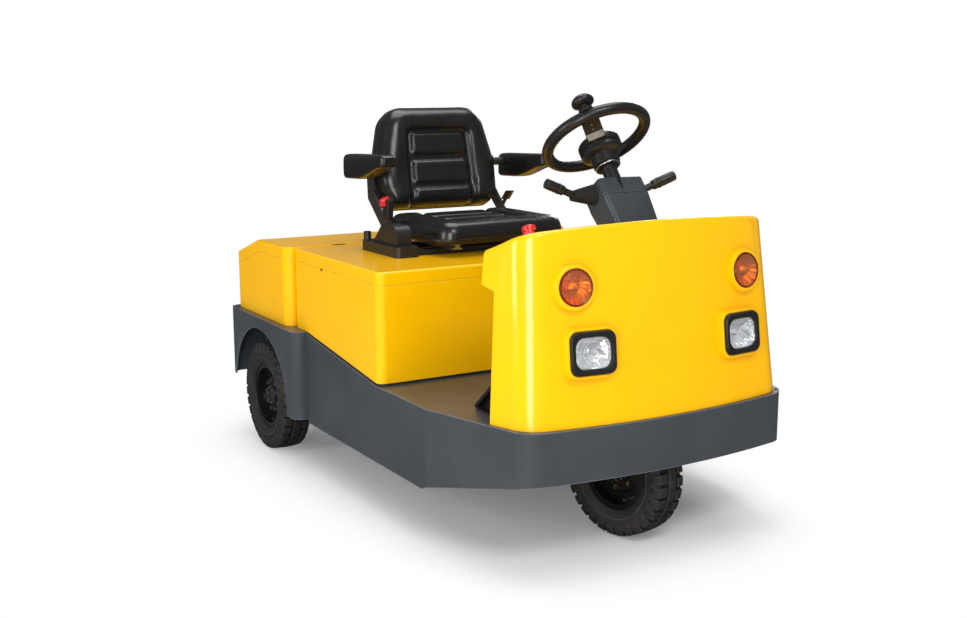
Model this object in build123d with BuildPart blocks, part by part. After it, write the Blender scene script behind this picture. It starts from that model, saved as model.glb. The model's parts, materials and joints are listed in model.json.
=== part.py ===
from build123d import *
import math
import os

os.makedirs("parts", exist_ok=True)

# Three-wheel electric tow tractor with a ride-on seat.
# Millimetres. The front faces -Y, the driver's left is +X, the ground is Z = 0.

# Wheels and tyres
tyre_r = 207.0
tyre_w = 116.0
rim_seat_r = 112.0
rim_flange_h = 7.0
rim_w = 84.0
rim_wall = 5.0
rear_axle_y = 648.0
rear_tyre_inset = 15.0
front_axle_y = -785.0
parked_steer = 9.5
spindle_r = 28.0
hub_in = 34.0
hub_out = 28.0
running_fit = 0.05

# Skirt and bumper band
front_y = -1010.0
front_bow = 8.0
front_corner_x = 480.0
front_corner_r = 75.0
bend_x = 592.0
bend_y = -590.0
bend_r = 60.0
skirt_t = 8.0
skirt_h = 256.0
bend_h = 244.0
bumper_h = 162.0
floor_t = 6.0
slope_start_y = -255.0

# Fenders and rear deck
fender_x = 643.0
fender_front_y = 298.0
fender_rear_y = 947.0
fender_r = 40.0
fender_t = 6.0
fender_w = 154.0
front_leg_h = 323.0
rear_flap_h = 268.0
arch_ahead = 8.0
arch_gap = 58.0
axle_window_r = 78.0
deck_rise = 81.0
deck_t = 8.0

# Chassis frame
rail_x = 300.0
rail_w = 60.0
rail_h = 98.0
rail_web = 8.0
cross_h = 60.0
front_cross_y = -500.0
middle_cross_y = 70.0

# Steering bearing and knuckle
pivot_hole_r = 150.0
pivot_r = 62.0
bearing_r = 178.0
bearing_h = 92.0
bearing_lift = 6.0
crown_r = 142.0
crown_over_tyre = 9.0
floor_over_crown = 11.0
crown_gap = 1.0
leg_gap = 12.0
leg_t = 24.0
leg_top_w = 156.0
leg_foot_r = 46.0

# Drive axle
axle_tube_r = 40.0
gear_r = 105.0
gear_w = 150.0
motor_r = 88.0
motor_l = 250.0

# Hitch
hitch_drop = 155.0
hitch_w = 210.0
hitch_h = 200.0
hitch_plate_t = 12.0
hitch_bore_r = 15.0
hitch_reach = 63.0
jaw_r = 31.0
jaw_t = 14.0
jaw_step = 62.0

# Battery box and its lid
box_inset = 3.0
box_front_y = -280.0
box_rear_y = 407.0
box_r = 28.0
box_wall = 4.0
box_h = 326.0
notch_y = 162.0
notch_w = 26.0
lid_h = 43.0
lid_edge_r = 8.0
seal_gap = 0.3
gasket_h = 8.0
gasket_w = 14.0
gasket_inset = 3.0
battery_side_gap = 44.0
battery_front_gap = 28.0
battery_rear_gap = 123.0
battery_top_gap = 26.0
hinge_r = 6.0
hinge_len = 90.0
hinge_leaf = 2.0
hinge_stand = 0.5
leaf_down = 33.0
leaf_up = 31.0
box_hinge_front_y = -130.0
box_hinge_rear_y = 260.0
tail_hinge_x = 380.0

# Tail body and its lid
tail_inset = 28.0
body_gap = 11.0
tail_rear_inset = 17.0
tail_r = 35.0
tail_wall = 4.0
tail_h = 290.0
tail_break_y = 681.0
tail_fall = 80.0
tail_band = 44.0
grip_x = -400.0
grip_w = 58.0
grip_depth = 24.0

# Cowl
cowl_wall = 4.0
cowl_front_y = -978.0
cowl_bow = 17.0
cowl_corner_x = 478.0
cowl_corner_r = 80.0
cowl_side_slope = 0.245
cowl_side_lean = 0.0583
cowl_rake = 0.118
cowl_h = 553.0
cowl_spare = 47.0
cowl_rear_bottom_y = -831.0
cowl_rear_top_y = -808.0
overhang_y = -758.0
overhang_h = 161.0
overhang_drop = 14.0
dash_front_y = -915.0
dash_slope = 0.39
cowl_edge_r = 14.0
panel_recess = 38.0
tunnel_gap = 10.0
tunnel_front_gap = 5.0
tunnel_h = 112.0
tunnel_slope = 60.0
panel_t = 4.0

# Lamps
indicator_x = 313.0
indicator_h = 395.0
indicator_r = 53.0
indicator_ring_r = 64.0
ring_lift = 6.0
headlight_x = 274.0
headlight_h = 210.0
headlight_w = 126.0
headlight_r = 26.0
headlight_pad = 156.0
pad_lift = 8.0
frame_lift = 15.0
lens_w = 98.0
lamp_depth = 40.0
dome_h = 10.0

# Steering column, wheel and levers
wheel_y = -618.0
wheel_lift = 235.0
column_tilt = 37.0
ring_r = 158.0
ring_tube_r = 15.0
spoke_angle = 230.0
spoke_w = 34.0
spoke_t = 8.0
hub_drop = 30.0
shaft_r = 18.0
column_half_w = 75.0
column_front = 34.0
column_rear = 73.0
column_r = 16.0
head_top = 168.0
head_seam = 226.0
seam_w = 3.0
column_foot = 420.0
head_edge_r = 9.0
collar_r = 37.0
collar_low = 132.0
collar_high = 118.0
knob_r = 24.0
knob_h = 56.0
boot_l = 78.0
boot_r = 28.0
boot_ribs = 6
right_lever_l = 172.0
left_lever_l = 132.0

# Stop button
stop_x = -400.0
stop_y = -862.0
stop_r = 20.0
stop_h = 34.0

# Pedals
pedal_x = -430.0
pedal_step = 110.0
pedal_w = 62.0
pedal_heel_y = -655.0
pedal_run = 92.0
pedal_toe_h = 90.0

# Seat
seat_x = 258.0
cushion_front_y = -92.0
cushion_rear_y = 318.0
cushion_corner_r = 88.0
pan_lift = 39.0
pan_t = 26.0
cushion_t = 52.0
backrest_back = 6.0
backrest_lift = 12.0
backrest_h = 374.0
backrest_t = 76.0
backrest_tilt = 12.0
backrest_waist_x = 226.0
backrest_top_x = 204.0
backrest_corner_r = 92.0
shell_t = 22.0
soft_gap = 0.3
mount_x = 305.0
mount_w = 88.0
mount_front_y = -32.0
mount_rear_y = 250.0
mount_h = 36.0
hump_h = 69.0
hump_w = 56.0
seat_bar_h = 18.0
recliner_t = 8.0
recliner_l = 82.0
recliner_w = 34.0
recliner_rise = 42.0
rail_seat_x = 170.0
belt_ahead = 56.0
buckle_stem = 50.0
buckle_l = 68.0
retractor_h = 40.0
lever_rise = 50.0
lever_knob_h = 34.0
arm_inner_x = 300.0
arm_w = 70.0
arm_front_y = 130.0
arm_rear_y = 460.0
arm_pivot_y = 418.0
arm_pivot_h = 165.0
arm_pad_h = 57.0
arm_front_h = 47.0
arm_rear_h = 78.0
arm_fall = 12.0
arm_deep_l = 110.0

# Heights and edges that follow from the sizes above
rim_flange_r = rim_seat_r + rim_flange_h
crown_z = 2 * tyre_r + crown_over_tyre
floor_z = crown_z + floor_over_crown
deck_z = floor_z + deck_rise
skirt_bottom = floor_z - skirt_h
bend_bottom = floor_z - bend_h
bumper_bottom = floor_z - bumper_h
front_leg_z = deck_z - front_leg_h
rear_flap_z = deck_z - rear_flap_h
hitch_z = deck_z - hitch_drop
hitch_end_y = fender_rear_y + hitch_reach
fender_inner_x = fender_x - fender_w
arch_y = rear_axle_y - arch_ahead
arch_r = tyre_r + arch_gap
box_x = bend_x - box_inset
box_top = floor_z + box_h
seat_floor = box_top + lid_h
tail_x = fender_x - tail_inset
tail_front_y = box_rear_y + body_gap
tail_rear_y = fender_rear_y - tail_rear_inset
tail_roof = deck_z + tail_h
tail_rear_roof = tail_roof - tail_fall
dash_front_z = floor_z + cowl_h
overhang_z = dash_front_z - overhang_h
indicator_z = floor_z + indicator_h
headlight_z = floor_z + headlight_h
wheel_z = dash_front_z + wheel_lift
pan_bottom = seat_floor + pan_lift
cushion_bottom = pan_bottom + pan_t
cushion_top = cushion_bottom + cushion_t
arm_pivot_z = cushion_top + arm_pivot_h
arm_top = arm_pivot_z + arm_pad_h
half_hinge = hinge_len / 2


def skirt_top(y):
    """Height of the skirt's upper edge: level at the floor, then rising to the deck."""
    if y <= slope_start_y:
        return floor_z
    rise = (y - slope_start_y) / (fender_front_y - slope_start_y)
    return floor_z + (deck_z - deck_t - floor_z) * min(rise, 1.0)


def side_profile(points, half_width):
    """Solid with an outline in the YZ plane, wide enough to trim both sides at once."""
    with BuildPart() as body:
        with BuildSketch(Plane.YZ):
            with BuildLine():
                Polyline(*points, close=True)
            make_face()
        extrude(amount=half_width, both=True)
    return body.part


def skirt_plan(inset, z, height, rear_y):
    """Solid bounded by the skirt's plan outline, moved inwards by the inset."""
    corner_y = front_y + front_bow
    with BuildPart() as body:
        with BuildSketch(Plane.XY.offset(z)) as plan:
            with BuildLine():
                ThreePointArc((-front_corner_x, corner_y), (0, front_y), (front_corner_x, corner_y))
                Polyline(
                    (front_corner_x, corner_y), (bend_x, bend_y), (bend_x, rear_y),
                    (-bend_x, rear_y), (-bend_x, bend_y), (-front_corner_x, corner_y),
                )
            make_face()
            fillet(plan.vertices().group_by(Axis.Y)[0], front_corner_r)
            fillet([v for v in plan.vertices() if abs(v.Y - bend_y) < 1], bend_r)
            if inset:
                offset(amount=-inset, kind=Kind.INTERSECTION, mode=Mode.REPLACE)
        extrude(amount=height)
    return body.part


def rounded_block(half_x, y0, y1, z0, z1, radius, inset=0.0):
    """Upright block with rounded vertical corners, its walls moved in by the inset."""
    with BuildPart() as body:
        with BuildSketch(Plane.XY.offset(z0)):
            with Locations((0, (y0 + y1) / 2)):
                RectangleRounded(2 * (half_x - inset), y1 - y0 - 2 * inset, radius - inset)
        extrude(amount=z1 - z0)
    return body.part


# Bumper and side skirts, one bent band
with BuildPart() as chassis_skirt:
    add(skirt_plan(0, skirt_bottom, deck_z - skirt_bottom, fender_front_y + 100))
    add(
        skirt_plan(skirt_t, skirt_bottom, deck_z - skirt_bottom, fender_front_y + 300),
        mode=Mode.SUBTRACT,
    )
    add(
        side_profile(
            [
                (fender_front_y, skirt_bottom),
                (bend_y + 30, skirt_bottom),
                (bend_y, bend_bottom),
                (front_y + front_bow, bumper_bottom),
                (front_y - 50, bumper_bottom),
                (front_y - 50, floor_z),
                (slope_start_y, floor_z),
                (fender_front_y, skirt_top(fender_front_y)),
            ],
            bend_x + 20,
        ),
        mode=Mode.INTERSECT,
    )

# Floor plate between the skirts, with the round opening for the steered wheel
with BuildPart() as floor_plate:
    add(skirt_plan(skirt_t, floor_z - floor_t, floor_t, fender_front_y + skirt_t))
    with Locations((0, front_axle_y, floor_z)):
        Hole(pivot_hole_r)

# Rear wheel houses: top, outer cheek with the arch, end walls and inner wall
fender_mid_x = (fender_x + fender_inner_x) / 2
fender_mid_y = (fender_front_y + fender_rear_y) / 2
flap_front_y = arch_y + arch_r - 20
with BuildPart() as fenders:
    for side in (-1, 1):
        for inset, base, top, mode in (
            (0, front_leg_z, deck_z, Mode.ADD),
            (fender_t, front_leg_z - 10, deck_z - fender_t, Mode.SUBTRACT),
        ):
            with BuildSketch(Plane.XY.offset(base)) as plan:
                with Locations((side * fender_mid_x, fender_mid_y)):
                    Rectangle(
                        fender_x - fender_inner_x - 2 * inset,
                        fender_rear_y - fender_front_y - 2 * inset,
                    )
                outer = plan.vertices().sort_by(Axis.X)
                fillet(outer[-2:] if side > 0 else outer[:2], fender_r - inset)
            extrude(amount=top - base, mode=mode)
        with BuildSketch(Plane.YZ.offset(side * (fender_x + 5))):
            with Locations((arch_y, tyre_r)):
                Circle(arch_r)
            with Locations((arch_y, tyre_r - arch_r / 2)):
                Rectangle(2 * arch_r, arch_r)
        extrude(amount=-side * (fender_t + 10), mode=Mode.SUBTRACT)
        with Locations((side * fender_mid_x, flap_front_y, rear_flap_z)):
            Box(
                fender_x, fender_rear_y, deck_z,
                align=(Align.CENTER, Align.MIN, Align.MAX), mode=Mode.SUBTRACT,
            )
        with BuildSketch(Plane.YZ.offset(side * (fender_inner_x - 5))):
            with Locations((rear_axle_y, tyre_r)):
                Circle(axle_window_r)
        extrude(amount=side * (fender_t + 10), mode=Mode.SUBTRACT)

# Rear deck, bent down at the front to the floor and at the back to the hitch
with BuildPart() as rear_deck:
    with BuildSketch(Plane.YZ):
        with BuildLine():
            Polyline(
                (fender_front_y, floor_z),
                (fender_front_y, deck_z),
                (fender_rear_y, deck_z),
                (fender_rear_y, rear_flap_z),
                (fender_rear_y - fender_t, rear_flap_z),
                (fender_rear_y - fender_t, deck_z - deck_t),
                (fender_front_y + fender_t, deck_z - deck_t),
                (fender_front_y + fender_t, floor_z),
                close=True,
            )
        make_face()
    extrude(amount=fender_inner_x, both=True)

# Two channel rails under the floor, from the bumper to the rear flange
rail_top = floor_z - floor_t
rail_bottom = rail_top - rail_h
rail_front_y = front_y + front_bow + skirt_t
rail_step_y = fender_front_y + fender_t
rail_rear_y = fender_rear_y - fender_t
rear_rail_top = deck_z - deck_t
with BuildPart() as frame_rails:
    for side in (-1, 1):
        for inset, width, mode in (
            (0, rail_w, Mode.ADD),
            (rail_web, rail_w - rail_web, Mode.SUBTRACT),
        ):
            with BuildSketch(Plane.YZ.offset(side * rail_x)):
                with BuildLine():
                    Polyline(
                        (rail_front_y + inset, rail_bottom + inset),
                        (rail_front_y + inset, rail_top - inset),
                        (rail_step_y + inset, rail_top - inset),
                        (rail_step_y + inset, rear_rail_top - inset),
                        (rail_rear_y - inset, rear_rail_top - inset),
                        (rail_rear_y - inset, rail_bottom + inset),
                        close=True,
                    )
                make_face()
            extrude(amount=side * width, mode=mode)

# Cross tubes between the rails and from each rail to the skirt
outrigger = bend_x - skirt_t - rail_x - rail_w
outrigger_x = rail_x + rail_w + outrigger / 2
with BuildPart() as cross_members:
    for y in (front_cross_y, middle_cross_y):
        with Locations((0, y, rail_top - cross_h / 2)):
            Box(2 * rail_x, cross_h, cross_h)
        with Locations(
            (outrigger_x, y, rail_top - cross_h / 2),
            (-outrigger_x, y, rail_top - cross_h / 2),
        ):
            Box(outrigger, cross_h, cross_h)

# Steering bearing: a flanged ring over the opening and the tapered housing above it
with BuildPart() as steering_bearing:
    with BuildSketch(Plane.XZ.offset(-front_axle_y)):
        with BuildLine():
            Polyline(
                (pivot_r, floor_z + bearing_lift),
                (pivot_hole_r, floor_z + bearing_lift),
                (pivot_hole_r, floor_z),
                (bearing_r, floor_z),
                (bearing_r, floor_z + 12),
                (bearing_r - 50, floor_z + 18),
                (pivot_r + 26, floor_z + bearing_h - 14),
                (pivot_r + 18, floor_z + bearing_h),
                (pivot_r, floor_z + bearing_h),
                close=True,
            )
        make_face()
    revolve(axis=Axis((0, front_axle_y, 0), (0, 0, 1)))

# Steered knuckle: crown disc, kingpin, one leg beside the wheel and its spindle
leg_x = tyre_w / 2 + leg_gap
crown_top = floor_z + bearing_lift - crown_gap
base_align = (Align.CENTER, Align.CENTER, Align.MIN)
with BuildPart() as front_fork:
    with Locations((0, front_axle_y, crown_z)):
        Cylinder(crown_r, crown_top - crown_z, align=base_align)
        Cylinder(pivot_r - running_fit, floor_z + bearing_h + 8 - crown_z, align=base_align)
    with BuildSketch(Plane.YZ.offset(leg_x)):
        with BuildLine():
            Polyline(
                (front_axle_y - leg_top_w / 2, crown_z),
                (front_axle_y - leg_foot_r, tyre_r),
                (front_axle_y + leg_foot_r, tyre_r),
                (front_axle_y + leg_top_w / 2, crown_z),
                close=True,
            )
        make_face()
        with Locations((front_axle_y, tyre_r)):
            Circle(leg_foot_r)
    extrude(amount=leg_t)
    for radius, reach in ((spindle_r + 10, leg_x - hub_in - 1), (spindle_r, leg_x + hub_out - 3)):
        with BuildSketch(Plane.YZ.offset(leg_x)):
            with Locations((front_axle_y, tyre_r)):
                Circle(radius)
        extrude(amount=-reach)


def wheel_rim(middle_x, axle_y, side):
    """Dished disc rim with its hub; the side says which way the dish faces."""
    half = rim_w / 2
    inside = rim_seat_r - rim_wall
    bore = spindle_r + running_fit
    profile = [
        (half, rim_flange_r), (half - 4, rim_flange_r), (half - 4, rim_seat_r),
        (4 - half, rim_seat_r), (4 - half, rim_flange_r), (-half, rim_flange_r),
        (-half, inside), (0, inside), (0, 72), (6, 64), (6, 44), (-hub_in, 44),
        (-hub_in, bore), (hub_out, bore), (hub_out, 34), (hub_out - 6, 42),
        (14, 44), (14, 68), (8, 76), (8, inside), (half, inside),
    ]
    with BuildPart() as body:
        with BuildSketch(Plane.XY.offset(tyre_r)):
            with BuildLine():
                Polyline(*[(middle_x + side * u, axle_y + r) for u, r in profile], close=True)
            make_face()
        revolve(axis=Axis((0, axle_y, tyre_r), (1, 0, 0)))
    return body.part


def wheel_tyre(middle_x, axle_y):
    """Pneumatic tyre out to the tips of its lugs, seated on the rim's barrel."""
    half = tyre_w / 2
    seat = rim_w / 2 - 4
    side_h = tyre_r - rim_flange_r
    low, middle, high = [rim_flange_r + share * side_h for share in (0.19, 0.47, 0.74)]
    profile = [
        (-seat, rim_seat_r), (seat, rim_seat_r), (seat, rim_flange_r),
        (seat + 6, rim_flange_r), (half - 4, low), (half, middle), (half, high),
        (half - 7, tyre_r - 8), (half - 22, tyre_r), (22 - half, tyre_r),
        (7 - half, tyre_r - 8), (-half, high), (-half, middle), (4 - half, low),
        (-seat - 6, rim_flange_r), (-seat, rim_flange_r),
    ]
    with BuildPart() as body:
        with BuildSketch(Plane.XY.offset(tyre_r)):
            with BuildLine():
                Polyline(*[(middle_x + u, axle_y + r) for u, r in profile], close=True)
            make_face()
        revolve(axis=Axis((0, axle_y, tyre_r), (1, 0, 0)))
    return body.part


rear_wheel_x = fender_x - rear_tyre_inset - tyre_w / 2
with BuildPart() as front_rim:
    add(wheel_rim(0, front_axle_y, -1))
with BuildPart() as front_tyre:
    add(wheel_tyre(0, front_axle_y))
with BuildPart() as left_rim:
    add(wheel_rim(rear_wheel_x, rear_axle_y, 1))
with BuildPart() as left_tyre:
    add(wheel_tyre(rear_wheel_x, rear_axle_y))
with BuildPart() as right_rim:
    add(wheel_rim(-rear_wheel_x, rear_axle_y, -1))
with BuildPart() as right_tyre:
    add(wheel_tyre(-rear_wheel_x, rear_axle_y))

# Drive axle: beam, spindles, gear housing, the motor ahead of it and its seats
with BuildPart() as rear_axle:
    with Locations((0, rear_axle_y, tyre_r)):
        Cylinder(axle_tube_r, 2 * (rear_wheel_x - hub_in - 14), rotation=(0, 90, 0))
        Cylinder(spindle_r + 10, 2 * (rear_wheel_x - hub_in - 1), rotation=(0, 90, 0))
        Cylinder(spindle_r, 2 * (rear_wheel_x + hub_out - 3), rotation=(0, 90, 0))
        Cylinder(gear_r, gear_w, rotation=(0, 90, 0))
    with BuildSketch(Plane.XZ.offset(-(rear_axle_y - gear_r + 20))):
        with Locations((0, tyre_r + 20)):
            Circle(motor_r)
    extrude(amount=motor_l)
    with Locations(
        (rail_x + rail_w / 2, rear_axle_y, tyre_r),
        (-rail_x - rail_w / 2, rear_axle_y, tyre_r),
    ):
        Box(rail_w, 2 * axle_tube_r + 24, rail_bottom - tyre_r, align=base_align)

# Tow hitch: plate on the deck's rear flange and three ears with one bore in line
bore_y = hitch_end_y - jaw_r
plate_back_y = fender_rear_y + hitch_plate_t
with BuildPart() as tow_hitch:
    with BuildSketch(Plane.XZ.offset(-plate_back_y)):
        with Locations((0, hitch_z)):
            RectangleRounded(hitch_w, hitch_h, 18)
    extrude(amount=hitch_plate_t)
    for level in (-jaw_step, 0, jaw_step):
        with BuildSketch(Plane.XY.offset(hitch_z + level - jaw_t / 2)):
            with Locations((0, plate_back_y)):
                Rectangle(2 * jaw_r, bore_y - plate_back_y, align=(Align.CENTER, Align.MIN))
            with Locations((0, bore_y)):
                Circle(jaw_r)
        extrude(amount=jaw_t)
    with BuildSketch(Plane.XY.offset(hitch_z)):
        with Locations((0, bore_y)):
            Circle(hitch_bore_r)
    extrude(amount=2 * jaw_step, both=True, mode=Mode.SUBTRACT)


def box_foot(y):
    """Lower edge of the battery box, one gasket above the skirt."""
    return skirt_top(y) + gasket_h


def hinge_half(part_from, part_to, down, up):
    """One hinge half along X: a barrel about the pin line and a leaf down or up the panel."""
    barrel_y = hinge_r + hinge_stand
    with BuildPart() as body:
        with BuildSketch(Plane.YZ.offset(part_from)):
            with Locations((barrel_y, 0)):
                Circle(hinge_r)
            with Locations((0, (up - down) / 2)):
                Rectangle(hinge_leaf + hinge_stand, up + down, align=(Align.MIN, Align.CENTER))
        extrude(amount=part_to - part_from)
    return body.part


def side_hinge(y, lower):
    """Hinge half on the left side of the battery box or of its lid."""
    span = (1, half_hinge) if lower else (-half_hinge, -1)
    half = hinge_half(*span, leaf_down if lower else 0, 0 if lower else leaf_up)
    return Pos(box_x, y, box_top - 1) * Rot(0, 0, -90) * half


def rear_hinge(x, lower):
    """Hinge half on the back of the tail body or of its lid."""
    span = (-half_hinge, -1) if lower else (1, half_hinge)
    half = hinge_half(*span, leaf_down if lower else 0, 0 if lower else leaf_up)
    return Pos(x, tail_rear_y, seam_low - 1) * half


# Battery box: four walls, the lower edge following the skirt over the gasket
with BuildPart() as battery_box:
    add(rounded_block(box_x, box_front_y, box_rear_y, floor_z, box_top, box_r))
    add(
        rounded_block(box_x, box_front_y, box_rear_y, floor_z, box_top, box_r, box_wall),
        mode=Mode.SUBTRACT,
    )
    add(
        side_profile(
            [
                (box_front_y - 20, box_foot(box_front_y)),
                (slope_start_y, box_foot(slope_start_y)),
                (fender_front_y, deck_z),
                (box_rear_y + 20, deck_z),
                (box_rear_y + 20, box_top + 20),
                (box_front_y - 20, box_top + 20),
            ],
            box_x + 20,
        ),
        mode=Mode.INTERSECT,
    )
    with BuildSketch(Plane.YZ.offset(-box_x - 5)):
        with Locations((notch_y, box_top)):
            Polygon((-notch_w / 2, 0), (notch_w / 2, 0), (0, -notch_w / 2), align=None)
    extrude(amount=box_wall + 10, mode=Mode.SUBTRACT)
    for y in (box_hinge_front_y, box_hinge_rear_y):
        add(side_hinge(y, True))

# Rubber gasket between the box and the floor in front, and along both skirts
with BuildPart() as box_gasket:
    add(rounded_block(
        box_x, box_front_y, box_rear_y, floor_z, deck_z, box_r, gasket_inset,
    ))
    add(
        rounded_block(
            box_x, box_front_y, box_rear_y, floor_z, deck_z, box_r, gasket_inset + gasket_w,
        ),
        mode=Mode.SUBTRACT,
    )
    add(
        side_profile(
            [
                (box_front_y - 20, floor_z),
                (slope_start_y, floor_z),
                (fender_front_y, deck_z - deck_t),
                (fender_front_y, deck_z),
                (slope_start_y, floor_z + gasket_h),
                (box_front_y - 20, floor_z + gasket_h),
            ],
            box_x + 20,
        ),
        mode=Mode.INTERSECT,
    )

# Traction battery inside the box
battery_x = box_x - battery_side_gap
battery_front_y = box_front_y + battery_front_gap
battery_rear_y = box_rear_y - battery_rear_gap
with BuildPart() as battery_block:
    with Locations((0, (battery_front_y + battery_rear_y) / 2, floor_z)):
        Box(
            2 * battery_x, battery_rear_y - battery_front_y, box_h - battery_top_gap,
            align=base_align,
        )

# Lid of the battery box, a pressed tray turned over, on a thin seal
lid_foot = box_top + seal_gap
with BuildPart() as battery_lid:
    add(rounded_block(box_x, box_front_y, box_rear_y, lid_foot, box_top + lid_h, box_r))
    fillet(battery_lid.faces().sort_by(Axis.Z)[-1].edges(), lid_edge_r)
    add(
        rounded_block(
            box_x, box_front_y, box_rear_y, lid_foot, box_top + lid_h - box_wall, box_r, box_wall,
        ),
        mode=Mode.SUBTRACT,
    )
    for y in (box_hinge_front_y, box_hinge_rear_y):
        add(side_hinge(y, False))

# Tail body: four walls, the upper edge following the bend of the lid
seam_low = tail_rear_roof - tail_band
seam_high = tail_roof - tail_band
with BuildPart() as tail_body:
    add(rounded_block(tail_x, tail_front_y, tail_rear_y, deck_z, tail_roof, tail_r))
    add(
        rounded_block(tail_x, tail_front_y, tail_rear_y, deck_z, tail_roof, tail_r, tail_wall),
        mode=Mode.SUBTRACT,
    )
    add(
        side_profile(
            [
                (tail_front_y - 20, deck_z),
                (tail_rear_y + 20, deck_z),
                (tail_rear_y + 20, seam_low),
                (tail_rear_y, seam_low),
                (tail_break_y, seam_high),
                (tail_front_y - 20, seam_high),
            ],
            tail_x + 20,
        ),
        mode=Mode.INTERSECT,
    )
    for x in (-tail_hinge_x, tail_hinge_x):
        add(rear_hinge(x, True))

# Tail lid: sloped tray with a hand recess in its front edge
with BuildPart() as tail_lid:
    for inset, lift, drop, mode in ((0, seal_gap, 0, Mode.ADD), (tail_wall, -20, tail_wall, Mode.SUBTRACT)):
        shape = rounded_block(
            tail_x, tail_front_y, tail_rear_y, deck_z, tail_roof + 20, tail_r, inset,
        )
        tray = side_profile(
            [
                (tail_front_y - 20, seam_high + lift),
                (tail_break_y, seam_high + lift),
                (tail_rear_y, seam_low + lift),
                (tail_rear_y + 20, seam_low + lift),
                (tail_rear_y + 20, tail_rear_roof - drop),
                (tail_rear_y, tail_rear_roof - drop),
                (tail_break_y, tail_roof - drop),
                (tail_front_y - 20, tail_roof - drop),
            ],
            tail_x + 20,
        )
        add(shape.intersect(tray), mode=mode)
    with BuildSketch(Plane.XY.offset(tail_roof - tail_wall - 10)):
        with Locations((grip_x, tail_front_y)):
            SlotOverall(grip_w, grip_depth)
    extrude(amount=tail_wall + 20, mode=Mode.SUBTRACT)
    for x in (-tail_hinge_x, tail_hinge_x):
        add(rear_hinge(x, False))


def cowl_volume(inset, edge_r, rear_y):
    """Raked, bowed body of the cowl; the inset gives the space inside its sheet."""
    back_y = overhang_y + 30
    foot = floor_z - (20 if inset else 0)
    with BuildPart() as body:
        for rise in (-20.0, cowl_h + cowl_spare):
            y = cowl_front_y + cowl_rake * rise + inset
            x = cowl_corner_x - cowl_side_lean * rise - inset
            back_x = x + cowl_side_slope * (back_y - y)
            with BuildSketch(Plane.XY.offset(floor_z + rise)) as plan:
                with BuildLine():
                    ThreePointArc((-x, y), (0, y - cowl_bow), (x, y))
                    Polyline((x, y), (back_x, back_y), (-back_x, back_y), (-x, y))
                make_face()
                fillet([v for v in plan.vertices() if v.Y < y + 1], cowl_corner_r - inset)
        loft()
        rear = [max(y, rear_y) for y in (cowl_rear_bottom_y, cowl_rear_top_y, overhang_y)]
        roof = dash_front_z - inset * math.hypot(1, dash_slope)
        add(
            side_profile(
                [
                    (front_y, foot),
                    (rear[0], foot),
                    (rear[1], overhang_z - overhang_drop),
                    (rear[2], overhang_z),
                    (rear[2], roof - dash_slope * (rear[2] - dash_front_y)),
                    (front_y, roof - dash_slope * (front_y - dash_front_y)),
                ],
                bend_x,
            ),
            mode=Mode.INTERSECT,
        )
        top = body.faces().filter_by(lambda f: f.normal_at().Z > 0.8).sort_by(Axis.Z)[-1]
        fillet([e for e in top.edges() if e.center().Y < overhang_y - 20], edge_r)
    return body.part


def face_plane(x, z, lift=0.0):
    """Plane on the cowl's bowed front at a point, its normal pointing outwards."""
    corner = cowl_corner_x - cowl_side_lean * (z - floor_z)
    y = cowl_front_y + cowl_rake * (z - floor_z) - cowl_bow * (1 - (x / corner) ** 2)
    turn = 2 * cowl_bow * x / corner**2
    return Plane(origin=(x, y, z), x_dir=(1, turn, 0), z_dir=(turn, -1, cowl_rake)).offset(lift)


# Cowl: one sheet with pressed rings for the round lamps and pads for the square ones
sides = (-1, 1)
with BuildPart() as cowl:
    add(cowl_volume(0, cowl_edge_r, front_y))
    for side in sides:
        with BuildSketch(face_plane(side * indicator_x, indicator_z, -cowl_wall / 2)):
            Circle(indicator_ring_r)
        extrude(amount=ring_lift + cowl_wall / 2, taper=18)
        with BuildSketch(face_plane(side * headlight_x, headlight_z, -cowl_wall / 2)):
            RectangleRounded(headlight_pad, headlight_pad, headlight_r + 12)
        extrude(amount=pad_lift + cowl_wall / 2, taper=14)
    add(cowl_volume(cowl_wall, cowl_edge_r - cowl_wall, overhang_y + 20), mode=Mode.SUBTRACT)
    for side in sides:
        with BuildSketch(face_plane(side * indicator_x, indicator_z, -lamp_depth)):
            Circle(indicator_r)
        extrude(amount=2 * lamp_depth, mode=Mode.SUBTRACT)
        with BuildSketch(face_plane(side * headlight_x, headlight_z, -lamp_depth)):
            RectangleRounded(headlight_w, headlight_w, headlight_r)
        extrude(amount=2 * lamp_depth, mode=Mode.SUBTRACT)

# Round lamps: lens cup with a low dome
with BuildPart() as indicator_lamps:
    for side in sides:
        with BuildSketch(face_plane(side * indicator_x, indicator_z, -lamp_depth)):
            Circle(indicator_r)
        extrude(amount=lamp_depth + ring_lift - 2)
        with BuildSketch(face_plane(side * indicator_x, indicator_z, ring_lift - 2)):
            Circle(indicator_r - 2)
        extrude(amount=dome_h, taper=60)

# Square lamps: moulded surround and the lens inside it
with BuildPart() as headlight_frames:
    for side in sides:
        with BuildSketch(face_plane(side * headlight_x, headlight_z, -lamp_depth)):
            RectangleRounded(headlight_w, headlight_w, headlight_r)
        extrude(amount=lamp_depth + frame_lift - 6)
        with BuildSketch(face_plane(side * headlight_x, headlight_z, frame_lift - 6)):
            RectangleRounded(headlight_w, headlight_w, headlight_r)
        extrude(amount=6, taper=30)
        with BuildSketch(face_plane(side * headlight_x, headlight_z, -lamp_depth)):
            RectangleRounded(lens_w, lens_w, headlight_r - 6)
        extrude(amount=2 * lamp_depth, mode=Mode.SUBTRACT)
with BuildPart() as headlight_lenses:
    for side in sides:
        with BuildSketch(face_plane(side * headlight_x, headlight_z, -lamp_depth)):
            RectangleRounded(lens_w, lens_w, headlight_r - 6)
        extrude(amount=lamp_depth + frame_lift - 5)

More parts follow.
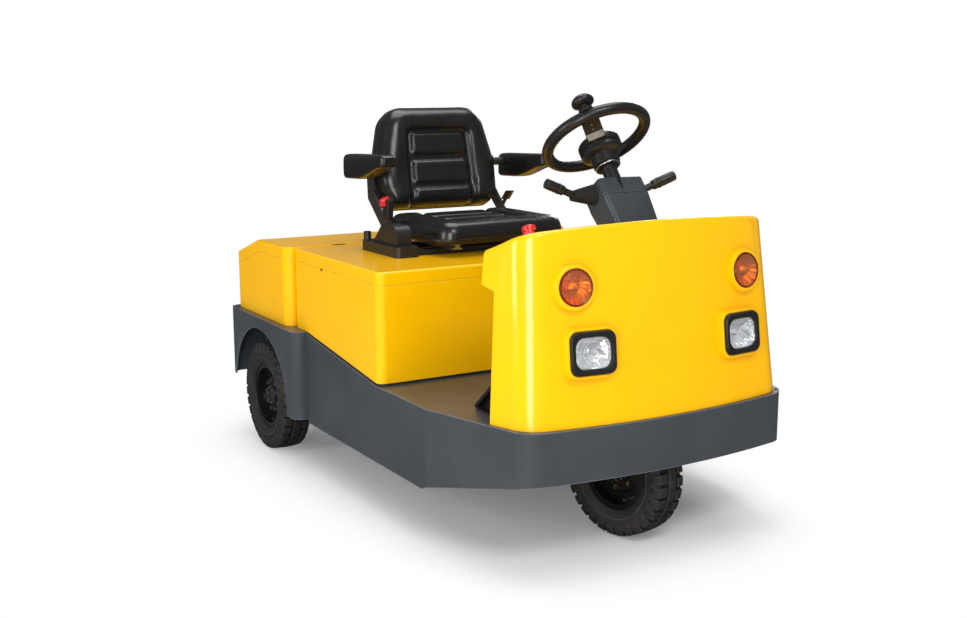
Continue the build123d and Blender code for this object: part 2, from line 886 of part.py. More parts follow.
# Tunnel's outline, which the dash panel is cut away for
tunnel_x = bearing_r + tunnel_gap
tunnel_z = floor_z + tunnel_h
tunnel_front_y = front_axle_y - bearing_r - tunnel_front_gap
tunnel_rear_y = front_axle_y + bearing_r + tunnel_gap

# Dash panel: closes the back of the cowl, stepped under the overhang
panel_foot_y = cowl_rear_bottom_y - panel_recess
panel_head_y = cowl_rear_top_y - panel_recess
step_z = overhang_z - 30
lip_y = overhang_y - 12
lip_z = overhang_z - 6
with BuildPart() as dash_panel:
    add(cowl_volume(cowl_wall, cowl_edge_r - cowl_wall, overhang_y + 20))
    add(
        side_profile(
            [
                (panel_foot_y, floor_z),
                (panel_head_y, step_z),
                (lip_y, lip_z),
                (lip_y, dash_front_z),
                (lip_y - panel_t, dash_front_z),
                (lip_y - panel_t, lip_z + panel_t),
                (panel_head_y - panel_t, step_z + panel_t),
                (panel_foot_y - panel_t, floor_z),
            ],
            bend_x,
        ),
        mode=Mode.INTERSECT,
    )
    with Locations((0, panel_foot_y, floor_z)):
        Box(2 * tunnel_x, 100, tunnel_z - floor_z, align=base_align, mode=Mode.SUBTRACT)

# Tunnel over the steering bearing, between the driver's feet
with BuildPart() as steering_tunnel:
    for inset, mode in ((0, Mode.ADD), (panel_t, Mode.SUBTRACT)):
        with BuildSketch(Plane.YZ.offset(inset - tunnel_x)):
            with BuildLine():
                Polyline(
                    (tunnel_front_y + inset, floor_z),
                    (tunnel_front_y + inset, tunnel_z - inset),
                    (tunnel_rear_y - tunnel_slope - 10, tunnel_z - inset),
                    (tunnel_rear_y - inset, tunnel_z - tunnel_slope),
                    (tunnel_rear_y - inset, floor_z),
                    close=True,
                )
            make_face()
        extrude(amount=2 * (tunnel_x - inset), mode=mode)


def dash_plane(x, y):
    """Plane on the sloping top of the cowl at a point."""
    z = dash_front_z - dash_slope * (y - dash_front_y)
    return Plane(origin=(x, y, z), x_dir=(1, 0, 0), z_dir=(0, dash_slope, 1))


# Mushroom stop button on the dash
with BuildPart() as stop_button:
    with BuildSketch(dash_plane(stop_x, stop_y)):
        Circle(stop_r - 6)
    extrude(amount=stop_h - 12)
    with BuildSketch(dash_plane(stop_x, stop_y).offset(stop_h - 12)):
        Circle(stop_r)
    extrude(amount=12)
    fillet(stop_button.faces().sort_by(Axis.Z)[-1].edges(), 5)

# Steering column: cover on the dash, head above a seam, tube and collar
tilt = math.radians(column_tilt)
column_plane = Plane(
    origin=(0, wheel_y, wheel_z), x_dir=(1, 0, 0), z_dir=(0, math.sin(tilt), math.cos(tilt))
)
column_depth = column_front + column_rear
column_mid = (column_rear - column_front) / 2
with BuildPart() as column_cover:
    for inset, top in ((0, head_seam + seam_w), (seam_w, head_seam)):
        with BuildSketch(column_plane.offset(-column_foot)):
            with Locations((0, column_mid)):
                RectangleRounded(
                    2 * (column_half_w - inset), column_depth - 2 * inset, column_r - inset,
                )
        extrude(amount=column_foot - top)
    with BuildSketch(dash_plane(0, wheel_y)):
        Rectangle(4 * column_half_w, 8 * column_half_w)
    extrude(amount=-2 * column_foot, mode=Mode.SUBTRACT)
with BuildPart() as column_head:
    with BuildSketch(column_plane.offset(-head_seam)):
        with Locations((0, column_mid)):
            RectangleRounded(2 * column_half_w, column_depth, column_r)
    extrude(amount=head_seam - head_top)
    top_face = column_head.faces().sort_by(Axis(column_plane.origin, column_plane.z_dir))[-1]
    fillet(top_face.edges(), head_edge_r)
with BuildPart() as column_tube:
    for radius, low, high in (
        (shaft_r + 4, head_top, collar_low),
        (collar_r, collar_low, collar_high),
        (shaft_r - running_fit, collar_high, hub_drop + 30),
    ):
        with BuildSketch(column_plane.offset(-low)):
            Circle(radius)
        extrude(amount=low - high)


def radial_plane(turn):
    """Plane through the steering wheel's axis, its X pointing outwards at an angle."""
    along = Vector(1, 0, 0).rotate(Axis((0, 0, 0), (0, 0, 1)), turn)
    reach = column_plane.from_local_coords(along) - column_plane.origin
    across = reach.cross(column_plane.z_dir)
    return Plane(origin=column_plane.origin, x_dir=reach, z_dir=across)


# Steering wheel: stepped hub turning on the shaft, two flat spokes and the ring
hub_plane = Plane(
    origin=(0, wheel_y, wheel_z), x_dir=(1, 0, 0), z_dir=(0, -math.cos(tilt), math.sin(tilt))
)
wheel_axis = Axis((0, wheel_y, wheel_z), column_plane.z_dir)
ring_in = ring_r - ring_tube_r / 2
with BuildPart() as steering_wheel:
    with BuildSketch(hub_plane):
        with BuildLine():
            Polyline(
                (shaft_r, 2 - collar_high), (40, 2 - collar_high), (46, 10 - collar_high),
                (64, 16 - collar_high), (68, 20 - collar_high), (68, -hub_drop - 42),
                (60, -hub_drop - 36), (52, -hub_drop - 33), (50, -hub_drop - 12),
                (44, -hub_drop - 6), (0, -hub_drop - 6), (0, -hub_drop - 28),
                (shaft_r, -hub_drop - 28), close=True,
            )
        make_face()
    revolve(axis=wheel_axis)
    for turn in (spoke_angle, spoke_angle + 180):
        with BuildSketch(radial_plane(turn)):
            with BuildLine():
                Polyline(
                    (0, -hub_drop - spoke_t), (62, -hub_drop - spoke_t),
                    (ring_in, -spoke_t), (ring_in, 0), (60, -hub_drop), (0, -hub_drop),
                    close=True,
                )
            make_face()
        extrude(amount=spoke_w / 2, both=True)
    for turn in (spoke_angle + 90, spoke_angle + 270):
        with BuildSketch(radial_plane(turn)):
            with Locations((ring_r, 0)):
                Circle(ring_tube_r)
        revolve(axis=wheel_axis, revolution_arc=180)

# Spinner knob on the ring over the long spoke
knob_at = Vector(ring_r, 0, 0).rotate(Axis((0, 0, 0), (0, 0, 1)), spoke_angle)
knob_foot = Plane(
    origin=column_plane.from_local_coords(knob_at + Vector(0, 0, ring_tube_r)),
    x_dir=(1, 0, 0), z_dir=column_plane.z_dir,
)
with BuildPart() as spinner_knob:
    for radius, height in ((20, 5), (10, knob_h - knob_r)):
        with BuildSketch(knob_foot):
            Circle(radius)
        extrude(amount=height)
    with Locations(knob_foot.offset(knob_h - knob_r)):
        Sphere(knob_r)

# Column levers: the right one in a ribbed boot, the left one on a bare rod
head_mid = column_plane.from_local_coords((0, column_mid, -(head_seam + head_top) / 2))
rib_pitch = boot_l / boot_ribs
with BuildPart() as column_levers:
    with BuildSketch(Plane.XY.offset(head_mid.Z)):
        points = [(-column_half_w, head_mid.Y), (-column_half_w, head_mid.Y + boot_r)]
        for i in range(boot_ribs):
            radius = boot_r - (boot_r - 14) * i / boot_ribs
            x = -column_half_w - rib_pitch * i
            points += [(x - rib_pitch * 0.6, head_mid.Y + radius)]
            points += [(x - rib_pitch, head_mid.Y + radius - 6)]
        points += [(-column_half_w - boot_l, head_mid.Y)]
        with BuildLine():
            Polyline(*points, close=True)
        make_face()
    revolve(axis=Axis(head_mid, (1, 0, 0)))
    for side, start, length, drift, radius in (
        (-1, boot_l - 14, right_lever_l - boot_l, 0.16, 12),
        (1, 0, left_lever_l, -0.26, 8),
    ):
        root = head_mid + Vector(side * (column_half_w + start), 0, 0)
        lean = Plane(origin=root, z_dir=(side, drift, 0.42))
        with BuildSketch(lean):
            Circle(radius)
        extrude(amount=length)
        with BuildSketch(lean.offset(length * 0.55)):
            Circle(12)
        extrude(amount=length * 0.55)
    with Locations(head_mid + Vector(column_half_w, 0, 0)):
        Cylinder(20, 36, rotation=(0, 90, 0), align=base_align)
    with BuildSketch(column_plane.offset(-head_seam)):
        with Locations((0, column_mid)):
            Rectangle(2 * column_half_w, 2 * column_depth)
    extrude(amount=2 * head_seam, mode=Mode.SUBTRACT)

# Pedals on the floor: bracket, web and a sloping pad
pedal_toe_y = pedal_heel_y - pedal_run
pedal_toe_z = floor_z + pedal_toe_h
with BuildPart() as pedals:
    for x in (pedal_x, pedal_x + pedal_step):
        with BuildSketch(Plane.YZ.offset(x - pedal_w / 2)):
            with BuildLine():
                Polyline(
                    (pedal_heel_y, floor_z + 10), (pedal_toe_y, pedal_toe_z),
                    (pedal_toe_y - 7, pedal_toe_z - 7),
                    (pedal_heel_y - 7, floor_z + 3), close=True,
                )
            make_face()
        extrude(amount=pedal_w)
        with BuildSketch(Plane.YZ.offset(x - 10)):
            with BuildLine():
                Polyline(
                    (pedal_heel_y - 4, floor_z + 5), (pedal_heel_y - pedal_run * 0.8, floor_z + 60),
                    (pedal_heel_y - pedal_run * 0.8, floor_z), (pedal_heel_y - 4, floor_z),
                    close=True,
                )
            make_face()
        extrude(amount=20)
        with Locations((x, pedal_heel_y - pedal_run / 2, floor_z)):
            Box(pedal_w, pedal_run * 0.7, 5, align=base_align)

# Seat base: two side housings with a hump, joined by cross bars on the lid
mount_len = mount_rear_y - mount_front_y
mount_mid_y = (mount_rear_y + mount_front_y) / 2
with BuildPart() as seat_base:
    for side in sides:
        x = side * (mount_x + mount_w / 2)
        with BuildSketch(Plane.XY.offset(seat_floor)):
            with Locations((x, mount_mid_y)):
                RectangleRounded(mount_w, mount_len, 16)
        extrude(amount=mount_h)
        with BuildSketch(Plane.YZ.offset(x - hump_w / 2)) as hump:
            with BuildLine():
                Polyline(
                    (mount_front_y + 32, seat_floor + mount_h),
                    (mount_front_y + 32, seat_floor + mount_h + hump_h),
                    (mount_front_y + 145, seat_floor + mount_h + hump_h),
                    (mount_front_y + 215, seat_floor + mount_h),
                    close=True,
                )
            make_face()
            crest = hump.vertices().group_by(Axis.Y)[-1].sort_by(Axis.X)
            fillet(crest[0], 36)
            fillet(hump.vertices().group_by(Axis.Y)[-1].sort_by(Axis.X)[-1], 30)
        extrude(amount=hump_w)
        with Locations((side * (mount_x + mount_w - 16), mount_rear_y - 20, seat_floor)):
            Cylinder(13, mount_h + 30, align=base_align)
    for y in (mount_front_y + 50, mount_rear_y - 40):
        with Locations((0, y, seat_floor)):
            Box(2 * mount_x + 10, 40, seat_bar_h, align=base_align)

# Slide rails between the cross bars and the seat pan
with BuildPart() as seat_rails:
    for side in sides:
        with BuildSketch(Plane.XZ.offset(-mount_front_y + 20)):
            with Locations((side * rail_seat_x, seat_floor + seat_bar_h)):
                Rectangle(38, 6, align=(Align.CENTER, Align.MIN))
                Rectangle(16, pan_bottom - seat_floor - seat_bar_h, align=(Align.CENTER, Align.MIN))
            with Locations((side * rail_seat_x, pan_bottom)):
                Rectangle(38, 6, align=(Align.CENTER, Align.MAX))
        extrude(amount=-(mount_len + 50))


def seat_plan(inset, z, height):
    """Plan of the seat, round at the front corners, raised to a height."""
    with BuildPart() as body:
        with BuildSketch(Plane.XY.offset(z)) as plan:
            with Locations((0, (cushion_front_y + cushion_rear_y) / 2)):
                Rectangle(2 * (seat_x - inset), cushion_rear_y - cushion_front_y - 2 * inset)
            corners = plan.vertices().group_by(Axis.Y)
            fillet(corners[0], cushion_corner_r - inset)
            fillet(plan.vertices().group_by(Axis.Y)[-1], 30)
        extrude(amount=height)
    return body.part


# Seat pan and the cushion on it
with BuildPart() as seat_pan:
    add(seat_plan(0, pan_bottom, cushion_bottom - pan_bottom))
    chamfer(seat_pan.faces().sort_by(Axis.Z)[0].edges(), 12)
with BuildPart() as seat_cushion:
    add(seat_plan(2, cushion_bottom + soft_gap, cushion_top - cushion_bottom - soft_gap))
    fillet(seat_cushion.faces().sort_by(Axis.Z)[-1].edges(), 22)

# Backrest: padded front and hard shell behind, leaning back
lean = math.radians(backrest_tilt)
backrest_plane = Plane(
    origin=(0, cushion_rear_y + backrest_back, cushion_top + backrest_lift),
    x_dir=(1, 0, 0), z_dir=(0, -math.cos(lean), math.sin(lean)),
)


def backrest_block(inset, depth, thickness):
    """Slice of the backrest's outline, starting at a depth behind its front."""
    with BuildPart() as body:
        with BuildSketch(backrest_plane.offset(-depth)) as outline:
            with BuildLine():
                Polyline(
                    (inset - backrest_waist_x, inset), (inset - seat_x, 0.27 * backrest_h),
                    (inset - seat_x, 0.45 * backrest_h),
                    (inset - backrest_top_x, backrest_h - inset),
                    (backrest_top_x - inset, backrest_h - inset),
                    (seat_x - inset, 0.45 * backrest_h), (seat_x - inset, 0.27 * backrest_h),
                    (backrest_waist_x - inset, inset), close=True,
                )
            make_face()
            fillet(outline.vertices().group_by(Axis.Y)[-1], backrest_corner_r - inset)
            fillet(outline.vertices().group_by(Axis.Y)[0], 40 - inset)
        extrude(amount=-thickness)
    return body.part


backrest_axis = Axis(backrest_plane.origin, backrest_plane.z_dir)
with BuildPart() as backrest_cushion:
    add(backrest_block(2, 0, backrest_t))
    fillet(backrest_cushion.faces().sort_by(backrest_axis)[-1].edges(), 24)
with BuildPart() as backrest_shell:
    add(backrest_block(0, backrest_t + soft_gap, shell_t))
    fillet(backrest_shell.faces().sort_by(backrest_axis)[0].edges(), 12)

# Recliner plates on both sides of the seat, with the pivots of the armrests
with BuildPart() as recliner_brackets:
    for side in sides:
        with BuildSketch(Plane.YZ.offset(side * seat_x)) as plate:
            with BuildLine():
                Polyline(
                    (cushion_rear_y - recliner_l, pan_bottom + 3),
                    (cushion_rear_y, pan_bottom + 3),
                    (arm_pivot_y + recliner_w, cushion_top + recliner_rise),
                    (arm_pivot_y + recliner_w + 10, arm_pivot_z + 15),
                    (arm_pivot_y + 6, arm_pivot_z + 25),
                    (arm_pivot_y - 14, cushion_top + recliner_rise + 23),
                    (cushion_rear_y + 12, cushion_top - 8),
                    (cushion_rear_y - recliner_l, cushion_bottom + 16),
                    close=True,
                )
            make_face()
            fillet(plate.vertices(), 8)
        extrude(amount=side * recliner_t)
        with BuildSketch(Plane.YZ.offset(side * seat_x)):
            with Locations((arm_pivot_y, arm_pivot_z)):
                Circle(15)
        extrude(amount=side * (arm_inner_x - seat_x))

# Armrests: tapered pads, deeper at the rear
with BuildPart() as armrests:
    for side in sides:
        with BuildSketch(Plane.YZ.offset(side * arm_inner_x)) as profile:
            with BuildLine():
                Polyline(
                    (arm_front_y, arm_top - arm_front_h), (arm_front_y, arm_top),
                    (arm_rear_y, arm_top - arm_fall),
                    (arm_rear_y, arm_top - arm_fall - arm_rear_h),
                    (arm_rear_y - arm_deep_l, arm_top - arm_fall - arm_rear_h), close=True,
                )
            make_face()
            fillet(profile.vertices(), 14)
        extrude(amount=side * arm_w)
    chamfer(armrests.faces().filter_by(Axis.X).edges(), 6)

# Belt buckle on the right and the retractor with its knob on the left
with BuildPart() as belt_ends:
    belt_y = cushion_rear_y - belt_ahead
    belt_x = seat_x + recliner_t
    buckle = Plane(
        origin=(-belt_x, belt_y, pan_bottom + 16), x_dir=(1, 0, 0), z_dir=(0, -0.12, 1),
    )
    with BuildSketch(buckle):
        Rectangle(8, 26, align=(Align.MAX, Align.CENTER))
    extrude(amount=buckle_stem)
    with BuildSketch(buckle.offset(buckle_stem)):
        with Locations((-4, 0)):
            RectangleRounded(26, 44, 6, align=(Align.MAX, Align.CENTER))
    extrude(amount=buckle_l)
    retractor = Plane(origin=(belt_x, belt_y, pan_bottom + 10), x_dir=(1, 0, 0), z_dir=(0, 0, 1))
    with BuildSketch(retractor):
        Rectangle(24, 42, align=(Align.MIN, Align.CENTER))
    extrude(amount=retractor_h)
    with BuildSketch(retractor.offset(retractor_h)):
        with Locations((12, 0)):
            Circle(8)
    extrude(amount=lever_rise)
    with BuildSketch(retractor.offset(retractor_h + lever_rise)):
        with Locations((12, 0)):
            Circle(17)
    extrude(amount=lever_knob_h)

# The steered wheel stands turned, as parked
steer_axis = Axis((0, front_axle_y, 0), (0, 0, 1))
for steered in (front_fork, front_rim, front_tyre):
    steered.part = steered.part.rotate(steer_axis, parked_steer)

pieces = {
    "chassis_skirt": chassis_skirt,
    "floor_plate": floor_plate,
    "fenders": fenders,
    "rear_deck": rear_deck,
    "frame_rails": frame_rails,
    "cross_members": cross_members,
    "steering_bearing": steering_bearing,
    "rear_axle": rear_axle,
    "tow_hitch": tow_hitch,
    "battery_box": battery_box,
    "battery_block": battery_block,
    "box_gasket": box_gasket,
    "tail_body": tail_body,
    "cowl": cowl,
    "dash_panel": dash_panel,
    "steering_tunnel": steering_tunnel,
    "stop_button": stop_button,
    "indicator_lamps": indicator_lamps,
    "headlight_frames": headlight_frames,
    "headlight_lenses": headlight_lenses,
    "column_cover": column_cover,
    "column_head": column_head,
    "column_tube": column_tube,
    "column_levers": column_levers,
    "pedals": pedals,
    "battery_lid": battery_lid,
    "seat_base": seat_base,
    "seat_rails": seat_rails,
    "seat_pan": seat_pan,
    "seat_cushion": seat_cushion,
    "backrest_cushion": backrest_cushion,
    "backrest_shell": backrest_shell,
    "recliner_brackets": recliner_brackets,
    "armrests": armrests,
    "belt_ends": belt_ends,
    "tail_lid": tail_lid,
    "front_fork": front_fork,
    "front_rim": front_rim,
    "front_tyre": front_tyre,
    "left_rim": left_rim,
    "left_tyre": left_tyre,
    "right_rim": right_rim,
    "right_tyre": right_tyre,
    "steering_wheel": steering_wheel,
    "spinner_knob": spinner_knob,
}
for name, piece in pieces.items():
    piece.part.label = name
    export_step(piece.part, f"parts/{name}.step")
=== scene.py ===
import json
import math

import bmesh
import bpy
import numpy as np
from mathutils import Matrix, Vector


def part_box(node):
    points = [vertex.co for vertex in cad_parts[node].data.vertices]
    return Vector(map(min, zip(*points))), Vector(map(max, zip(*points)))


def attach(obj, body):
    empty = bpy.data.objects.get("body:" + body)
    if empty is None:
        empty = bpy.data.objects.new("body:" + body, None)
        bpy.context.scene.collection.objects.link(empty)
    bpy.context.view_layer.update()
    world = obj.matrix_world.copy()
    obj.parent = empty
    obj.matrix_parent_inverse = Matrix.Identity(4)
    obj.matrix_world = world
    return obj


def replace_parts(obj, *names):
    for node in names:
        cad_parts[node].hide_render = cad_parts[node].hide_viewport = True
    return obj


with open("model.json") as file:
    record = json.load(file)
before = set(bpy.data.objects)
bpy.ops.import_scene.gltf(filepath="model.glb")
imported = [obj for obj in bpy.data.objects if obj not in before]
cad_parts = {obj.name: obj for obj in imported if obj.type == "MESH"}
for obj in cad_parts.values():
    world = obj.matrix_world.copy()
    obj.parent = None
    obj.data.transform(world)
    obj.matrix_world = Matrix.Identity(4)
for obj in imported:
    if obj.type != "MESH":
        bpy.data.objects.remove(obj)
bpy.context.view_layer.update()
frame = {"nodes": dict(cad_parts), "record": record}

nodes = frame["nodes"]
TAU = math.tau


# Node helpers
def srgb(red, green, blue):
    """Linear colour from the 0 to 255 values that a screen shows."""
    def one(value):
        value /= 255
        return value / 12.92 if value <= 0.04045 else ((value + 0.055) / 1.055) ** 2.4
    return (one(red), one(green), one(blue), 1.0)


def group_tree(name, outputs, inputs=()):
    """Empty shader group with its sockets made, and its two end nodes."""
    tree = bpy.data.node_groups.new(name, "ShaderNodeTree")
    for label, kind, value in inputs:
        socket = tree.interface.new_socket(label, in_out="INPUT", socket_type=kind)
        socket.default_value = value
    for label, kind in outputs:
        tree.interface.new_socket(label, in_out="OUTPUT", socket_type=kind)
    return tree, tree.nodes.new("NodeGroupInput"), tree.nodes.new("NodeGroupOutput")


def node(tree, kind, **settings):
    """New node with its attributes, or its inputs by name, set."""
    made = tree.nodes.new(kind)
    for key, value in settings.items():
        if key.startswith("in_"):
            made.inputs[key[3:].replace("_", " ")].default_value = value
        else:
            setattr(made, key, value)
    return made


def maths(tree, operation, first, second=None, clamp=False):
    """Math node's result from sockets or numbers."""
    made = tree.nodes.new("ShaderNodeMath")
    made.operation = operation
    made.use_clamp = clamp
    for index, value in enumerate((first, second)):
        if value is None:
            continue
        if isinstance(value, (int, float)):
            made.inputs[index].default_value = value
        else:
            tree.links.new(value, made.inputs[index])
    return made.outputs[0]


def make_mottle():
    """Slow patches and fine specks that break up an even finish."""
    tree, entry, leave = group_tree(
        "mottle", [("Patches", "NodeSocketFloat"), ("Specks", "NodeSocketFloat")],
        [("Scale", "NodeSocketFloat", 6.0)],
    )
    where = node(tree, "ShaderNodeTexCoord")
    patches = node(tree, "ShaderNodeTexNoise", in_Detail=5.0, in_Roughness=0.55)
    specks = node(tree, "ShaderNodeTexNoise", in_Detail=2.0, in_Roughness=0.6)
    tree.links.new(where.outputs["Object"], patches.inputs["Vector"])
    tree.links.new(where.outputs["Object"], specks.inputs["Vector"])
    tree.links.new(entry.outputs["Scale"], patches.inputs["Scale"])
    tree.links.new(maths(tree, "MULTIPLY", entry.outputs["Scale"], 40.0), specks.inputs["Scale"])
    tree.links.new(patches.outputs["Fac"], leave.inputs["Patches"])
    tree.links.new(specks.outputs["Fac"], leave.inputs["Specks"])
    return tree


def make_edges():
    """Mask along sharp edges, where paint, plastic and rubber get a painted highlight."""
    tree, entry, leave = group_tree(
        "edges", [("Mask", "NodeSocketFloat"), ("Normal", "NodeSocketVector")],
        [("Radius", "NodeSocketFloat", 0.003)],
    )
    bevel = node(tree, "ShaderNodeBevel", samples=3)
    plain = node(tree, "ShaderNodeNewGeometry")
    tree.links.new(entry.outputs["Radius"], bevel.inputs["Radius"])
    dot = node(tree, "ShaderNodeVectorMath", operation="DOT_PRODUCT")
    tree.links.new(bevel.outputs["Normal"], dot.inputs[0])
    tree.links.new(plain.outputs["Normal"], dot.inputs[1])
    bent = maths(tree, "SUBTRACT", 1.0, dot.outputs["Value"])
    tree.links.new(maths(tree, "MULTIPLY", bent, 5.0, clamp=True), leave.inputs["Mask"])
    tree.links.new(bevel.outputs["Normal"], leave.inputs["Normal"])
    return tree


def make_grain():
    """Pebbled height of moulded vinyl or textured plastic."""
    tree, entry, leave = group_tree(
        "grain", [("Height", "NodeSocketFloat")], [("Scale", "NodeSocketFloat", 500.0)],
    )
    where = node(tree, "ShaderNodeTexCoord")
    cells = node(tree, "ShaderNodeTexVoronoi", feature="SMOOTH_F1")
    cells.inputs["Smoothness"].default_value = 0.6
    fine = node(tree, "ShaderNodeTexNoise", in_Detail=3.0)
    tree.links.new(where.outputs["Object"], cells.inputs["Vector"])
    tree.links.new(where.outputs["Object"], fine.inputs["Vector"])
    tree.links.new(entry.outputs["Scale"], cells.inputs["Scale"])
    tree.links.new(maths(tree, "MULTIPLY", entry.outputs["Scale"], 2.2), fine.inputs["Scale"])
    both = maths(tree, "ADD", cells.outputs["Distance"],
                 maths(tree, "MULTIPLY", fine.outputs["Fac"], 0.35))
    tree.links.new(both, leave.inputs["Height"])
    return tree


mottle_tree = make_mottle()
edges_tree = make_edges()
grain_tree = make_grain()


def finish_material(
    name, colour, deep, rough, rough_swing=0.06, scale=6.0, edge=0.0, edge_colour=None,
    edge_radius=0.0, grain=0.0, grain_scale=500.0, **constants,
):
    """Principled material with patchy colour, uneven gloss, painted highlights on its edges and a
    grain.
    """
    material = bpy.data.materials.new(name)
    material.use_nodes = True
    tree = material.node_tree
    shader = tree.nodes["Principled BSDF"]
    for key, value in constants.items():
        shader.inputs[key.replace("_", " ")].default_value = value
    mottle = node(tree, "ShaderNodeGroup", node_tree=mottle_tree)
    mottle.inputs["Scale"].default_value = scale
    blend = node(tree, "ShaderNodeMix", data_type="RGBA")
    blend.inputs["A"].default_value = colour
    blend.inputs["B"].default_value = deep
    ramp = node(tree, "ShaderNodeMapRange", in_From_Min=0.38, in_From_Max=0.66)
    tree.links.new(mottle.outputs["Patches"], ramp.inputs["Value"])
    speck = maths(tree, "MULTIPLY", maths(tree, "SUBTRACT", mottle.outputs["Specks"], 0.5), 0.5)
    tree.links.new(maths(tree, "ADD", ramp.outputs["Result"], speck, clamp=True),
                   blend.inputs["Factor"])
    colour_out = blend.outputs["Result"]
    normal = None
    if edge_radius:
        edges = node(tree, "ShaderNodeGroup", node_tree=edges_tree)
        edges.inputs["Radius"].default_value = edge_radius
        normal = edges.outputs["Normal"]
    # Painted highlight: the lighter edge colour is mixed in along sharp edges.
    if edge and edge_radius:
        edge_highlight = node(tree, "ShaderNodeMix", data_type="RGBA")
        edge_highlight.inputs["B"].default_value = edge_colour or colour
        tree.links.new(colour_out, edge_highlight.inputs["A"])
        tree.links.new(maths(tree, "MULTIPLY", edges.outputs["Mask"], edge), edge_highlight.inputs["Factor"])
        colour_out = edge_highlight.outputs["Result"]
    tree.links.new(colour_out, shader.inputs["Base Color"])
    gloss = node(tree, "ShaderNodeMapRange", in_To_Min=rough - rough_swing,
                 in_To_Max=rough + rough_swing)
    tree.links.new(mottle.outputs["Patches"], gloss.inputs["Value"])
    tree.links.new(gloss.outputs["Result"], shader.inputs["Roughness"])
    if grain:
        grains = node(tree, "ShaderNodeGroup", node_tree=grain_tree)
        grains.inputs["Scale"].default_value = grain_scale
        bump = node(tree, "ShaderNodeBump", in_Strength=grain, in_Distance=0.0006)
        tree.links.new(grains.outputs["Height"], bump.inputs["Height"])
        if normal:
            tree.links.new(normal, bump.inputs["Normal"])
        normal = bump.outputs["Normal"]
    if normal:
        tree.links.new(normal, shader.inputs["Normal"])
    return material


# Each edge_colour below is a painted highlight along sharp edges, not wear.
yellow = finish_material(
    "yellow_paint", srgb(253, 190, 0), srgb(251, 185, 0), 0.22, rough_swing=0.03,
    edge=0.5, edge_radius=0.0035, edge_colour=srgb(255, 220, 90), grain=0.02,
    grain_scale=240.0, Specular_IOR_Level=0.3, Coat_Weight=0.4, Coat_Roughness=0.09,
)
grey = finish_material(
    "grey_paint", srgb(65, 70, 75), srgb(59, 64, 69), 0.33, rough_swing=0.04, edge=0.9,
    edge_radius=0.004, edge_colour=srgb(176, 181, 186), grain=0.05, grain_scale=420.0,
    Specular_IOR_Level=0.45,
)
frame_black = finish_material(
    "frame_paint", srgb(44, 45, 47), srgb(33, 34, 36), 0.5, edge=0.4, edge_radius=0.002,
    edge_colour=srgb(86, 88, 90), grain=0.12, grain_scale=300.0,
)
floor_coat = finish_material(
    "floor_coat", srgb(78, 75, 74), srgb(62, 60, 59), 0.34, scale=4.0, grain=0.2,
    grain_scale=350.0,
)
battery_case = finish_material(
    "battery_case", srgb(44, 45, 47), srgb(36, 37, 39), 0.6, grain=0.2, grain_scale=300.0,
)
rubber_seal = finish_material(
    "seal_rubber", srgb(30, 30, 30), srgb(22, 22, 22), 0.75, grain=0.2, grain_scale=600.0,
)
rim_paint = finish_material(
    "rim_paint", srgb(24, 23, 23), srgb(16, 16, 16), 0.26, grain=0.05, Coat_Weight=0.4,
)
black_plastic = finish_material(
    "black_plastic", srgb(31, 31, 32), srgb(23, 23, 24), 0.4, edge=0.35, edge_radius=0.002,
    edge_colour=srgb(72, 73, 75), grain=0.18, grain_scale=620.0,
)
ring_plastic = finish_material(
    "ring_plastic", srgb(30, 29, 29), srgb(22, 21, 21), 0.34, grain=0.16, grain_scale=420.0,
)
column_plastic = finish_material(
    "column_plastic", srgb(60, 66, 72), srgb(52, 58, 64), 0.28, edge=0.6, edge_radius=0.003,
    edge_colour=srgb(122, 129, 136), grain=0.16, grain_scale=560.0,
)
vinyl = finish_material(
    "vinyl", srgb(27, 27, 28), srgb(20, 20, 21), 0.27, rough_swing=0.05, scale=9.0,
    grain=0.12, grain_scale=460.0, Specular_IOR_Level=0.6,
)
bright_steel = finish_material(
    "bright_steel", srgb(188, 188, 190), srgb(160, 160, 164), 0.3, scale=30.0,
    grain=0.05, Metallic=1.0,
)
brass = finish_material(
    "brass", srgb(222, 196, 128), srgb(184, 156, 92), 0.3, scale=40.0, Metallic=1.0,
)
red_plastic = finish_material(
    "red_plastic", srgb(222, 28, 36), srgb(203, 20, 28), 0.25, edge=0.4, edge_radius=0.002,
    edge_colour=srgb(255, 110, 110), Coat_Weight=0.5,
)
bare_plate = finish_material(
    "bare_plate", srgb(150, 150, 148), srgb(128, 128, 127), 0.35, scale=60.0, Metallic=0.3,
)
dark_steel = finish_material(
    "dark_steel", srgb(112, 112, 114), srgb(84, 84, 86), 0.35, scale=40.0, Metallic=0.8,
)
chrome = finish_material(
    "chrome", srgb(250, 251, 252), srgb(236, 239, 242), 0.16, scale=30.0, Metallic=0.75,
)
dark_red = finish_material(
    "dark_red", srgb(120, 22, 14), srgb(96, 14, 10), 0.3, scale=40.0, Coat_Weight=0.4,
)
amber_mirror = finish_material(
    "amber_mirror", srgb(255, 150, 44), srgb(246, 104, 22), 0.16, scale=50.0, Metallic=0.6,
)
tyre_rubber = finish_material(
    "tyre_rubber", srgb(46, 43, 41), srgb(34, 32, 31), 0.55, scale=14.0, edge=0.7,
    edge_colour=srgb(118, 113, 110), edge_radius=0.0022, grain=0.25, grain_scale=700.0,
)


